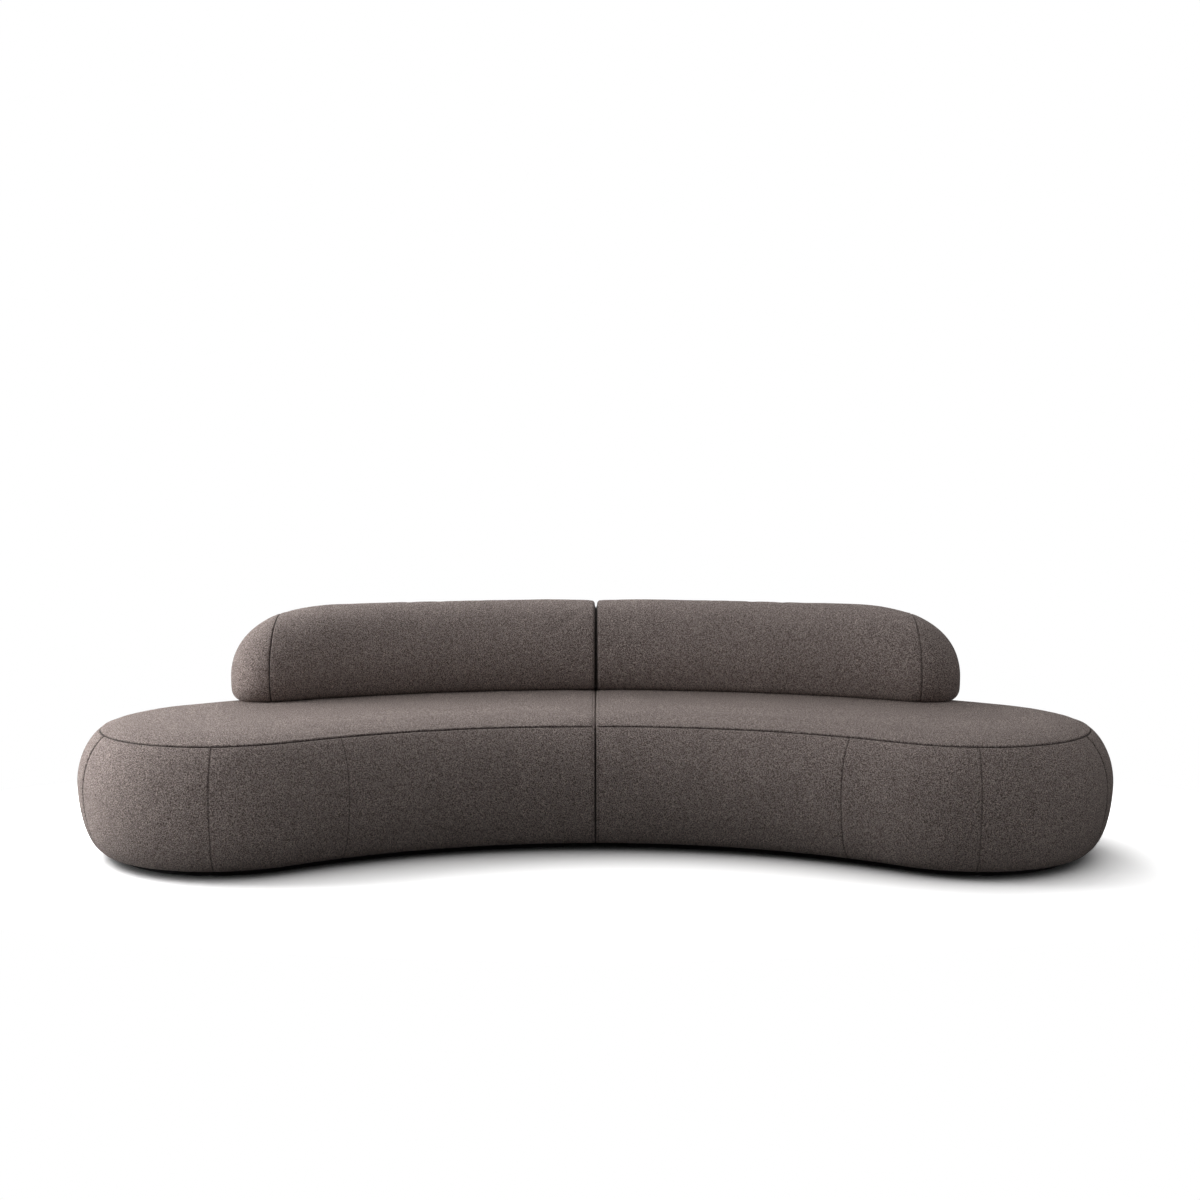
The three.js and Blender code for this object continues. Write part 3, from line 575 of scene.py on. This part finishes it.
def back_section(reach, sink):
    """Closed section, from the crest over the rear and the underside back up the front."""
    front, rear = back_plan(reach)
    width_share = (rear - front) / BACK_THICKNESS
    front += sink
    rear -= sink
    fallen = max(0, reach - (BACK_END_REACH - BACK_END_FALL)) / BACK_END_FALL
    fullness = max(0, 1 - fallen**BACK_FALL_POWER) ** (1 / BACK_FALL_POWER)
    eased = BACK_TOP_EASE * math.exp(-reach / BACK_TOP_EASE_REACH)
    end_belly = SEAT_HEIGHT + BACK_END_BELLY
    top = end_belly + (BACK_RISE - BACK_END_BELLY - sink - eased) * fullness
    belly = end_belly + (BACK_BELLY - BACK_END_BELLY) * fullness
    shoulder = end_belly + (BACK_RISE - BACK_END_BELLY - BACK_REAR_ROUND) * fullness
    crest = front + (rear - front) * BACK_CREST_SHARE
    undercut = BACK_FRONT_UNDERCUT * width_share
    bottom_front = front + undercut
    bottom_rear = rear - BACK_REAR_UNDERCUT * width_share
    front_foot = belly - BACK_BELLY_STRAIGHT
    rear_foot = min(SEAT_HEIGHT + BACK_REAR_FOOT, shoulder)
    up = np.linspace(0, math.pi / 2, BACK_CREST_STEPS + 1)
    down = up[:0:-1]
    small = np.linspace(0, math.pi / 2, BACK_FOOT_STEPS + 1)[:-1]
    shares = np.linspace(1, 0, BACK_UNDER_STEPS + 1)
    y = bottom_front + (bottom_rear - bottom_front) * shares
    lift = BACK_REAR_LIFT * np.clip((shares - BACK_LIFT_SHARE) / (1 - BACK_LIFT_SHARE), 0, 1) ** 2
    under = back_underside(reach, y, lift)
    straight = np.linspace(shoulder, rear_foot, BACK_REAR_STEPS + 1)[:-1]
    belly_steps = np.linspace(front_foot, belly, BACK_BELLY_STEPS + 1)[:-1]
    parts = [
        (crest + (rear - crest) * np.cos(down), shoulder + (top - shoulder) * np.sin(down)),
        (np.full(BACK_REAR_STEPS, rear), straight),
        (
            bottom_rear + (rear - bottom_rear) * np.cos(small),
            rear_foot - (rear_foot - under[0]) * np.sin(small),
        ),
        (y[:-1], under[:-1]),
        (
            bottom_front - undercut * np.sin(small),
            front_foot - (front_foot - under[-1]) * np.cos(small),
        ),
        (np.full(BACK_BELLY_STEPS, front), belly_steps),
        (crest - (crest - front) * np.cos(up[:-1]), belly + (top - belly) * np.sin(up[:-1])),
    ]
    y, z = (np.concatenate(axis) for axis in zip(*parts))
    return np.stack([np.full(len(y), -reach), y, z], 1)


def back_grid(wave_sign):
    """Points of one backrest, one section after another, with depth in the seams, and painted shade
    in the seams and at the joint.
    """
    edge = BACK_JOINT_FACE + BACK_JOINT_ROUND
    seam = BACK_END_REACH - BACK_END_PANEL
    places = np.linspace(edge, BACK_END_CENTRE_REACH, round((BACK_END_CENTRE_REACH - edge) / STEP))
    tip_turns = np.linspace(0, math.pi / 2, BACK_TIP_STEPS + 1)[1:]
    tip = BACK_END_CENTRE_REACH + BACK_THICKNESS / 2 * np.sin(tip_turns)
    stations = joint_edge(BACK_JOINT_FACE, BACK_JOINT_ROUND, BACK_EDGE_STEPS)
    stations += [(place, 0.0) for place in beside_seams(np.concatenate([places, tip]), [seam])]
    sections = np.array([back_section(reach, sink) for reach, sink in stations])
    reach = -sections[..., 0]
    away = reach - seam
    strip = np.abs(reach - edge)

    steps = np.linalg.norm(np.diff(sections, axis=1, prepend=sections[:, :1]), axis=2)
    depth = crease(-away, welt=BACK_SEAM_WELT)
    depth -= pucker(away, np.cumsum(steps, axis=1), BACK_SEAM_SEED)
    depth = np.maximum(depth, crease(strip, BACK_STRIP_SHARE) * (reach >= edge - SLACK))

    # Painted shade: darker colour in the end seam, more on the left back than on the right, and on
    # the joint face and its turned-in edge
    darkness = LEFT_BACK_SEAM_PAINTED_SHADE if wave_sign > 0 else RIGHT_BACK_SEAM_PAINTED_SHADE
    turned_in = np.array([sink for _, sink in stations])[:, None] / BACK_JOINT_ROUND
    dark = np.maximum(darkness * seam_painted_shade(away), BACK_STRIP_SHARE * seam_painted_shade(strip))
    dark = np.maximum(dark, FACE_PAINTED_SHADE * turned_in**TURNED_IN_POWER)
    face = back_joint_face(sections[0], wave_sign)
    none = np.zeros(face.shape[:2])
    return (
        np.concatenate([face, sections]),
        np.concatenate([none, depth]),
        np.concatenate([none + FACE_PAINTED_SHADE, dark]),
    )


def back_joint_face(section, wave_sign):
    """The padded face at the joint, in rings, with a wave that the other back's face follows."""
    low, high = section.min(0), section.max(0)
    middle = (low + high) / 2
    shares = 1 - (1 - np.linspace(0, 1, BACK_FACE_RINGS + 1)[:-1]) ** FACE_RING_POWER
    rings = middle + (section - middle) * shares[:, None, None]
    rise = (section[:, 2] - low[2]) / (high[2] - low[2])
    top_share = smooth_step(rise / BACK_FACE_FOOT_HEIGHT_SHARE)
    edge_share = BACK_FACE_FOOT_SHARE + (BACK_FACE_EDGE_SHARE - BACK_FACE_FOOT_SHARE) * top_share
    bulge = BACK_FACE_BULGE + face_wave(rings[..., 1], wave_sign)
    rings[..., 0] += bulge * smooth_step((1 - shares[:, None]) / edge_share[None])
    return rings


# Closed meshes from grids


def merged_grid(points):
    """Where a ring grid's distinct points first are, each grid point's number, and the faces."""
    row_count, column_count = points.shape[:2]
    flat = points.reshape(-1, 3)
    rounded = np.round(flat, SAME_DECIMALS)
    _, first, kept = np.unique(rounded, axis=0, return_index=True, return_inverse=True)
    kept = kept.reshape(row_count, column_count)
    rows, columns = np.arange(row_count - 1), np.arange(column_count)
    r, c = (a.ravel() for a in np.meshgrid(rows, columns, indexing="ij"))
    r2, c2 = r + 1, (c + 1) % column_count
    quads = np.stack([kept[r, c], kept[r2, c], kept[r2, c2], kept[r, c2]], 1)
    faces = []
    for quad in quads.tolist():
        face = [v for i, v in enumerate(quad) if v != quad[i - 1]]
        if len(set(face)) == len(face) >= 3:
            faces.append(face)
    return first, kept, faces


def mesh_normals(points, faces):
    """Vertex normals weighted by the faces' areas."""
    normals = np.zeros_like(points)
    quads = np.array([face if len(face) == 4 else face + face[-1:] for face in faces])
    one, other = (points[quads[:, i + 2]] - points[quads[:, i]] for i in range(2))
    cross = np.cross(one, other)
    for i in range(4):
        np.add.at(normals, quads[:, i], cross)
    return normals / np.maximum(np.linalg.norm(normals, axis=1, keepdims=True), 1e-12)


def outward(place, faces):
    """Faces turned outwards, and the points' normals."""
    normals = mesh_normals(place, faces)
    corners = [place[[face[i] for face in faces]] for i in range(3)]
    volume = np.einsum("ij,ij->i", corners[0], np.cross(corners[1], corners[2])).sum()
    if volume < 0:
        return [face[::-1] for face in faces], -normals
    return faces, normals


def new_object(name, data):
    """An object in the scene."""
    made = bpy.data.objects.new(name, data)
    bpy.context.scene.collection.objects.link(made)
    return made


def form_object(name, place, faces):
    """An object of points in millimetres."""
    mesh = bpy.data.meshes.new(name)
    mesh.from_pydata((place * MM).tolist(), [], faces)
    return new_object(name, mesh)


def mesh_places(mesh, attribute="co"):
    """Places or normals of a mesh's points."""
    values = np.empty(3 * len(mesh.vertices), np.float32)
    mesh.vertices.foreach_get(attribute, values)
    return values.reshape(-1, 3).astype(float)


# Swell of the covers


def point_tree(points):
    """A tree that finds the nearest of some points."""
    tree = KDTree(len(points))
    for number, point in enumerate(points):
        tree.insert(point, number)
    tree.balance()
    return tree


def voxel_cage(place, faces):
    """A mesh of even voxels round a form."""
    form = form_object("form", place, faces)
    remesh = form.modifiers.new("remesh", "REMESH")
    remesh.mode = "VOXEL"
    remesh.voxel_size = SWELL_VOXEL * MM
    graph = bpy.context.evaluated_depsgraph_get()
    cage = bpy.data.meshes.new_from_object(form.evaluated_get(graph))
    mesh = form.data
    bpy.data.objects.remove(form)
    bpy.data.meshes.remove(mesh)
    return cage


def pressed_places(cage, held):
    """Places of the cage's points once the cloth's pressure has moved those that aren't held."""
    piece = new_object("cloth", cage)
    group = piece.vertex_groups.new(name="sewn")
    group.add(np.flatnonzero(held).tolist(), 1.0, "REPLACE")
    cloth = piece.modifiers.new("cloth", "CLOTH")
    cloth.settings.vertex_group_mass = "sewn"
    cloth.settings.use_pressure = True
    cloth.settings.uniform_pressure_force = SWELL_PRESSURE
    cloth.settings.effector_weights.gravity = 0.0
    scene = bpy.context.scene
    for frame_number in range(1, SWELL_FRAMES + 1):
        scene.frame_set(frame_number)
    graph = bpy.context.evaluated_depsgraph_get()
    places = mesh_places(piece.evaluated_get(graph).to_mesh()) / MM
    scene.frame_set(1)
    bpy.data.objects.remove(piece)
    return places


def without_broad_part(moved, cage):
    """Moves less their broad part, which is what is left once they are evened along the edges."""
    edges = np.empty(2 * len(cage.edges), np.int32)
    cage.edges.foreach_get("vertices", edges)
    one, other = edges.reshape(-1, 2).T
    count = len(moved)
    neighbours = np.bincount(edges, minlength=count)
    broad = moved
    for _ in range(SWELL_EVENING):
        beside = np.bincount(one, broad[other], count) + np.bincount(other, broad[one], count)
        broad = (broad + beside / neighbours) / 2
    return moved - broad


def swell(grid, foot):
    """How far a cover swells between its seams in a cloth simulation, without the broad shape."""
    points, _, dark = grid
    first, kept, faces = merged_grid(points)
    place = points.reshape(-1, 3)[first]
    cage = voxel_cage(place, outward(place, faces)[0])
    start, normals = mesh_places(cage) / MM, mesh_places(cage, "normal")

    sewn = point_tree(place[dark.ravel()[first] > SWELL_SEWN_SHADE])
    near = np.array([sewn.find(point)[2] for point in start])
    held = (near < SWELL_HELD) | (start[:, 2] < foot + SWELL_FOOT_REACH[0])
    held |= start[:, 0] > -SWELL_JOINT_REACH[0]
    moved = np.einsum("ij,ij->i", pressed_places(cage, held) - start, normals)
    moved = SWELL_CAP * np.tanh(moved / SWELL_CAP)
    moved = without_broad_part(moved, cage)
    bpy.data.meshes.remove(cage)

    tree = point_tree(start)
    swollen = np.empty(len(place))
    for number, point in enumerate(place):
        _, found, distances = zip(*tree.find_n(point, SWELL_NEAREST))
        shares = [math.exp(-((d / SWELL_VOXEL) ** 2)) + SWELL_LEAST_SHARE for d in distances]
        swollen[number] = sum(s * moved[at] for s, at in zip(shares, found)) / sum(shares)
    low, high = SWELL_JOINT_REACH
    beyond = smooth_step((-place[:, 0] - low) / (high - low))
    low, high = SWELL_FOOT_REACH
    above = smooth_step((place[:, 2] - foot - low) / (high - low))
    return (swollen * beyond * above)[kept]


def upholstery(name, grid, swollen, is_right, seed):
    """One closed, sewn form. The right one mirrors the left, with its own unevenness."""
    points, depth, dark = grid
    first, _, faces = merged_grid(points)
    place = points.reshape(-1, 3)[first].copy()
    depth, dark = (depth - swollen).ravel()[first], dark.ravel()[first]
    if is_right:
        place[:, 0] *= -1
        faces = [face[::-1] for face in faces]
    faces, normals = outward(place, faces)
    wave = 0
    for number, (height, length) in enumerate(UNEVENNESS, seed):
        wave = wave + height * lattice_noise(place, length, number)
    wave = np.where(place[:, 2] > HEM_HEIGHT + UNEVEN_FOOT, wave, 0)
    piece = form_object(name, place + normals * (wave - depth)[:, None], faces)
    mesh = piece.data
    mesh.shade_smooth()
    # The seam attribute holds the painted shade of the seams and the joint faces
    attribute = mesh.attributes.new("seam", "FLOAT", "POINT")
    attribute.data.foreach_set("value", dark.astype(np.float32))
    return piece


# Materials


def set_inputs(tree, node, inputs):
    """Links the sockets among a node's inputs, and sets the other values."""
    for key, value in inputs.items():
        if isinstance(value, bpy.types.NodeSocket):
            tree.links.new(value, node.inputs[key])
        else:
            node.inputs[key].default_value = value


def node_adder(tree):
    """A function that adds a node to a tree, with its settings and inputs."""

    def add(kind, inputs=None, **settings):
        node = tree.nodes.new(kind)
        for key, value in settings.items():
            setattr(node, key, value)
        set_inputs(tree, node, inputs or {})
        return node

    return add


def number_math(add, operation, *values):
    """The outcome of a Math node."""
    return add("ShaderNodeMath", dict(enumerate(values)), operation=operation).outputs[0]


def vector_math(add, operation, inputs, output="Vector"):
    """The outcome of a Vector Math node."""
    return add("ShaderNodeVectorMath", inputs, operation=operation).outputs[output]


def smooth_range(add, value, start, end, to_start=0.0, to_end=1.0):
    """A value turned from one range into another, with a level start and end."""
    inputs = {"Value": value, 1: start, 2: end, 3: to_start, 4: to_end}
    return add("ShaderNodeMapRange", inputs, interpolation_type="SMOOTHSTEP").outputs[0]


def colour_ramp(add, value, stops):
    """A value turned into a colour, from stops of position and colour."""
    ramp = add("ShaderNodeValToRGB", {"Fac": value})
    elements = ramp.color_ramp.elements
    for number, (position, colour) in enumerate((stops[0], stops[-1])):
        elements[number].position, elements[number].color = position, colour
    for position, colour in stops[1:-1]:
        elements.new(position).color = colour
    return ramp.outputs["Color"]


def new_material(name):
    """A node material, and functions that add a node to it and set its shader's inputs."""
    material = bpy.data.materials.new(name)
    material.use_nodes = True
    tree = material.node_tree
    shader = tree.nodes["Principled BSDF"]
    return material, node_adder(tree), lambda inputs: set_inputs(tree, shader, inputs)


def linear(*values):
    """A colour written in screen values from 0 to 255."""
    curved = [((v / 255 + 0.055) / 1.055) ** 2.4 if v > 10 else v / 255 / 12.92 for v in values]
    return (*curved, 1)


def boucle_material():
    """Boucle: small irregular nubs with curled yarn over them, and darker gaps between them, partly
    the yarn's own tone and partly painted shade.
    """
    material, add, finish = new_material("boucle_fabric")
    place = add("ShaderNodeTexCoord").outputs["Object"]

    def noise(scale, detail=1.0, at=place):
        inputs = {"Vector": at, "Scale": scale, "Detail": detail, "Roughness": 0.5}
        return add("ShaderNodeTexNoise", inputs).outputs

    def blended(one, other, share):
        one = number_math(add, "MULTIPLY", one, 1 - share)
        return number_math(add, "ADD", one, number_math(add, "MULTIPLY", other, share))

    warp = vector_math(add, "ADD", {0: noise(BOUCLE_WARP_SCALE)["Color"], 1: (-0.5, -0.5, -0.5)})
    warp = vector_math(add, "SCALE", {0: warp, "Scale": BOUCLE_WARP})
    warped = vector_math(add, "ADD", {0: place, 1: warp})
    ridges = []
    for scale, shift in BOUCLE_LOOPS:
        moved = vector_math(add, "ADD", {0: warped, 1: (shift, shift, shift)})
        away = number_math(add, "SUBTRACT", noise(scale, detail=0.0, at=moved)["Fac"], 0.5)
        away = number_math(add, "ABSOLUTE", away)
        ridges.append(smooth_range(add, away, 0.0, BOUCLE_YARN_WIDTH, 1.0, 0.0))
    loops = number_math(add, "MAXIMUM", *ridges)
    nubs = smooth_range(add, noise(BOUCLE_NUBS, detail=0.0)["Fac"], *BOUCLE_NUB_RANGE)
    yarn = blended(loops, nubs, BOUCLE_NUB_SHARE)
    twist = noise(BOUCLE_TWIST_SCALE)["Fac"]
    twist_height = number_math(add, "MULTIPLY", twist, BOUCLE_TWIST_HEIGHT)
    height = number_math(add, "ADD", yarn, twist_height)

    stops = [(position, linear(*colour)) for position, colour in BOUCLE_COLOURS_WITH_GAP_SHADE]
    # Colour from the height: the raised yarn is lighter and the low gaps darker, partly the yarn's
    # own tone and partly painted shade
    yarn_colour_and_gap_shade = colour_ramp(add, blended(yarn, twist, BOUCLE_TWIST_COLOUR), stops)
    patches = noise(BOUCLE_PATCH_SCALE, detail=3.0)["Fac"]
    patches = smooth_range(add, patches, *BOUCLE_PATCH_RANGE, *BOUCLE_PATCH_SHADES)
    # Painted shade along the seams and on the joint faces, read from the seam attribute, times
    # random patches of tone
    seam = add("ShaderNodeAttribute", attribute_name="seam").outputs["Fac"]
    shade = smooth_range(add, seam, 0.0, 1.0, 1.0, BOUCLE_SEAM_SHADE)
    shade = number_math(add, "MULTIPLY", patches, shade)
    bump = add("ShaderNodeBump", {"Height": height, "Strength": 0.9, "Distance": BOUCLE_DEPTH})
    highest = 1 + BOUCLE_TWIST_HEIGHT
    finish(
        {
            "Base Color": vector_math(add, "SCALE", {0: yarn_colour_and_gap_shade, "Scale": shade}),
            "Roughness": smooth_range(add, height, 0.0, highest, *BOUCLE_ROUGHNESS),
            "Specular IOR Level": 0.15,
            "Sheen Weight": 0.25,
            "Sheen Roughness": 0.6,
            "Sheen Tint": linear(*BOUCLE_SHEEN_TINT),
            "Normal": bump.outputs[0],
        }
    )
    return material


def grainy_material(
    name, dark, light, scale, stretch, roughness, bump_depth, metallic=0.0, specular=0.5
):
    """A material with a stretched grain in colour, roughness and bump."""
    material, add, finish = new_material(name)
    place = add("ShaderNodeTexCoord").outputs["Object"]
    moved = add("ShaderNodeMapping", {"Vector": place, "Scale": stretch}).outputs[0]
    inputs = {"Vector": moved, "Scale": scale, "Detail": 5.0, "Roughness": 0.6}
    grain = add("ShaderNodeTexNoise", inputs).outputs["Fac"]
    low, high = GRAIN_RANGE
    rough = {"Value": grain, 1: low, 2: high, 3: roughness[0], 4: roughness[1]}
    bump = add("ShaderNodeBump", {"Height": grain, "Strength": 0.5, "Distance": bump_depth})
    finish(
        {
            "Base Color": colour_ramp(add, grain, [(low, linear(*dark)), (high, linear(*light))]),
            "Roughness": add("ShaderNodeMapRange", rough).outputs[0],
            "Metallic": metallic,
            "Specular IOR Level": specular,
            "Normal": bump.outputs[0],
        }
    )
    return material


def woven_material(name, dark, light, scale):
    """A plain weave: two crossing sets of bands."""
    material, add, finish = new_material(name)
    place = add("ShaderNodeTexCoord").outputs["Object"]
    inputs = {"Vector": place, "Scale": scale, "Distortion": 0.4}
    bands = [
        add("ShaderNodeTexWave", inputs, bands_direction=axis).outputs["Fac"] for axis in "XY"
    ]
    weave = number_math(add, "MULTIPLY", *bands)
    bump = add("ShaderNodeBump", {"Height": weave, "Strength": 0.6, "Distance": 0.0006})
    finish(
        {
            "Base Color": colour_ramp(add, weave, [(0.0, linear(*dark)), (1.0, linear(*light))]),
            "Roughness": 0.85,
            "Normal": bump.outputs[0],
        }
    )
    return material


boucle = boucle_material()
node_materials = {
    "board": grainy_material(
        "plywood_grain",
        dark=(172, 132, 88),
        light=(214, 180, 132),
        scale=9.0,
        stretch=(1, 9, 9),
        roughness=(0.55, 0.75),
        bump_depth=0.0004,
    ),
    "strap": woven_material("strap_weave", dark=(38, 38, 40), light=(78, 78, 80), scale=120.0),
    # The plinth is near black, and makes the black band under the seat's hem
    "plinth": grainy_material(
        "plinth_near_black",
        dark=(5, 5, 5),
        light=(13, 12, 12),
        scale=14.0,
        stretch=(1, 1, 12),
        roughness=(0.7, 0.9),
        bump_depth=0.0002,
        specular=0.1,
    ),
    "dust_cloth": woven_material(
        "dust_cloth_weave", dark=(16, 16, 17), light=(34, 34, 35), scale=300.0
    ),
    "glide": grainy_material(
        "glide_nylon",
        dark=(30, 30, 31),
        light=(44, 44, 45),
        scale=60.0,
        stretch=(1, 1, 1),
        roughness=(0.4, 0.5),
        bump_depth=0.0001,
    ),
    "steel": grainy_material(
        "brushed_steel",
        dark=(118, 121, 124),
        light=(152, 155, 158),
        scale=40.0,
        stretch=(1, 20, 20),
        roughness=(0.3, 0.45),
        bump_depth=0.0001,
        metallic=1.0,
    ),
}
KINDS = {
    "base_board": "board",
    "top_board": "board",
    "frame_wall": "board",
    "joint_board": "board",
    "rib": "board",
    "back_board": "board",
    "back_spine": "board",
    "back_gusset": "board",
    "strap": "strap",
    "plinth": "plinth",
    "dust_cloth": "dust_cloth",
    "glide": "glide",
    "back_post": "steel",
    "joining_plate": "steel",
}
for node_name, node in frame["nodes"].items():
    for part, kind in KINDS.items():
        if part in node_name:
            node.data.materials[0] = node_materials[kind]


# Pieces

seat_swell = swell(seat_grid(1), HEM_HEIGHT)
back_swell = swell(back_grid(1), SEAT_HEIGHT)
for is_right, side in enumerate(("left", "right")):
    wave_sign = -1 if is_right else 1
    seat, back = seat_grid(wave_sign), back_grid(wave_sign)
    seat_piece = upholstery(
        f"{side}_seat_upholstery", seat, seat_swell, is_right, SEAT_SEED + is_right
    )
    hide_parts(f"{side}_seat_cover", f"{side}_seat_top_foam", f"{side}_seat_wall_foam")
    back_piece = upholstery(
        f"{side}_back_upholstery", back, back_swell, is_right, BACK_SEED + is_right
    )
    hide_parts(f"{side}_back_cover", f"{side}_back_foam")
    for piece in (seat_piece, back_piece):
        piece.data.materials.append(boucle)
        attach(piece, "root")


# Studio


def floor():
    """A wide pale floor. It shows white to the camera, and keeps the sofa's shadow, with painted
    shadow from ambient occlusion near the sofa.
    """
    reach = FLOOR_REACH
    corners = [(-reach, -reach, 0), (reach, -reach, 0), (reach, reach, 0), (-reach, reach, 0)]
    mesh = bpy.data.meshes.new("floor")
    mesh.from_pydata(corners, [], [(0, 1, 2, 3)])
    piece = new_object("floor", mesh)
    material = bpy.data.materials.new("floor_white")
    material.use_nodes = True
    material.node_tree.nodes.clear()
    add = node_adder(material.node_tree)
    # Painted shadow: the floor's colour, as the camera sees it, darkens where ambient occlusion
    # finds the sofa near
    sky = add(
        "ShaderNodeAmbientOcclusion", {"Distance": FLOOR_SHADOW_REACH}, samples=FLOOR_SHADOW_SAMPLES
    ).outputs["AO"]
    painted_shadow = number_math(add, "POWER", sky, FLOOR_SHADOW_POWER)
    colour_with_painted_shadow = vector_math(add, "SCALE", {0: (FLOOR_GAIN, FLOOR_GAIN, FLOOR_GAIN), "Scale": painted_shadow})
    near = add("ShaderNodeBsdfDiffuse", {"Color": colour_with_painted_shadow}).outputs[0]
    far = add("ShaderNodeEmission", {"Color": WHITE}).outputs[0]
    place = add("ShaderNodeTexCoord").outputs["Object"]
    across, deep = FLOOR_NEAR
    flat = {"Vector": place, "Scale": (1 / across, 1 / deep, 0)}
    place = add("ShaderNodeMapping", flat).outputs[0]
    away = smooth_range(add, vector_math(add, "LENGTH", {0: place}, "Value"), *FLOOR_FADE)
    shown = add("ShaderNodeMixShader", {"Fac": away, 1: near, 2: far}).outputs[0]
    bounce = (FLOOR_BOUNCE, FLOOR_BOUNCE, FLOOR_BOUNCE, 1)
    unseen = add("ShaderNodeBsdfDiffuse", {"Color": bounce}).outputs[0]
    is_seen = add("ShaderNodeLightPath").outputs["Is Camera Ray"]
    surface = add("ShaderNodeMixShader", {"Fac": is_seen, 1: unseen, 2: shown}).outputs[0]
    add("ShaderNodeOutputMaterial", {"Surface": surface})
    mesh.materials.append(material)


def lamp(name, place, aim, size, power):
    """A soft box at a place, turned to what it lights."""
    data = bpy.data.lights.new(name, "AREA")
    data.shape = "RECTANGLE"
    data.size, data.size_y = size
    data.energy = power
    box = new_object(name, data)
    box.location = place
    direction = np.array(aim, float) - np.array(place, float)
    box.rotation_mode = "QUATERNION"
    box.rotation_quaternion = Vector(direction).to_track_quat("-Z", "Y")
    box.visible_camera = False


def world(zenith):
    """Soft light from above that fades to the horizon, and a white background to the camera."""
    made = bpy.data.worlds.new("studio")
    made.use_nodes = True
    made.node_tree.nodes.clear()
    add = node_adder(made.node_tree)
    direction = add("ShaderNodeTexCoord").outputs["Generated"]
    height = add("ShaderNodeSeparateXYZ", {0: direction}).outputs["Z"]
    above = number_math(add, "MAXIMUM", height, 0.0)
    strength = number_math(add, "MULTIPLY", above, zenith)
    light = add("ShaderNodeBackground", {"Color": WHITE, "Strength": strength})
    white = add("ShaderNodeBackground", {"Color": WHITE, "Strength": 1.0})
    path = add("ShaderNodeLightPath").outputs
    seen = number_math(add, "MAXIMUM", path["Is Camera Ray"], path["Is Glossy Ray"])
    seen = number_math(add, "MAXIMUM", seen, path["Is Transmission Ray"])
    mix = add("ShaderNodeMixShader", {0: seen, 1: light.outputs[0], 2: white.outputs[0]})
    add("ShaderNodeOutputWorld", {"Surface": mix.outputs[0]})
    bpy.context.scene.world = made


floor()
world(ZENITH_LIGHT)
for lamp_name, setting in LAMPS.items():
    lamp(lamp_name, *setting)

camera_data = bpy.data.cameras.new("camera")
camera_data.lens = CAMERA_LENS
camera_data.sensor_width = CAMERA_SENSOR
camera = new_object("camera", camera_data)
camera.location = CAMERA_PLACE
camera.rotation_euler = (math.radians(90 - CAMERA_DIP), 0, 0)
bpy.context.scene.camera = camera
bpy.context.scene.view_settings.view_transform = "Standard"
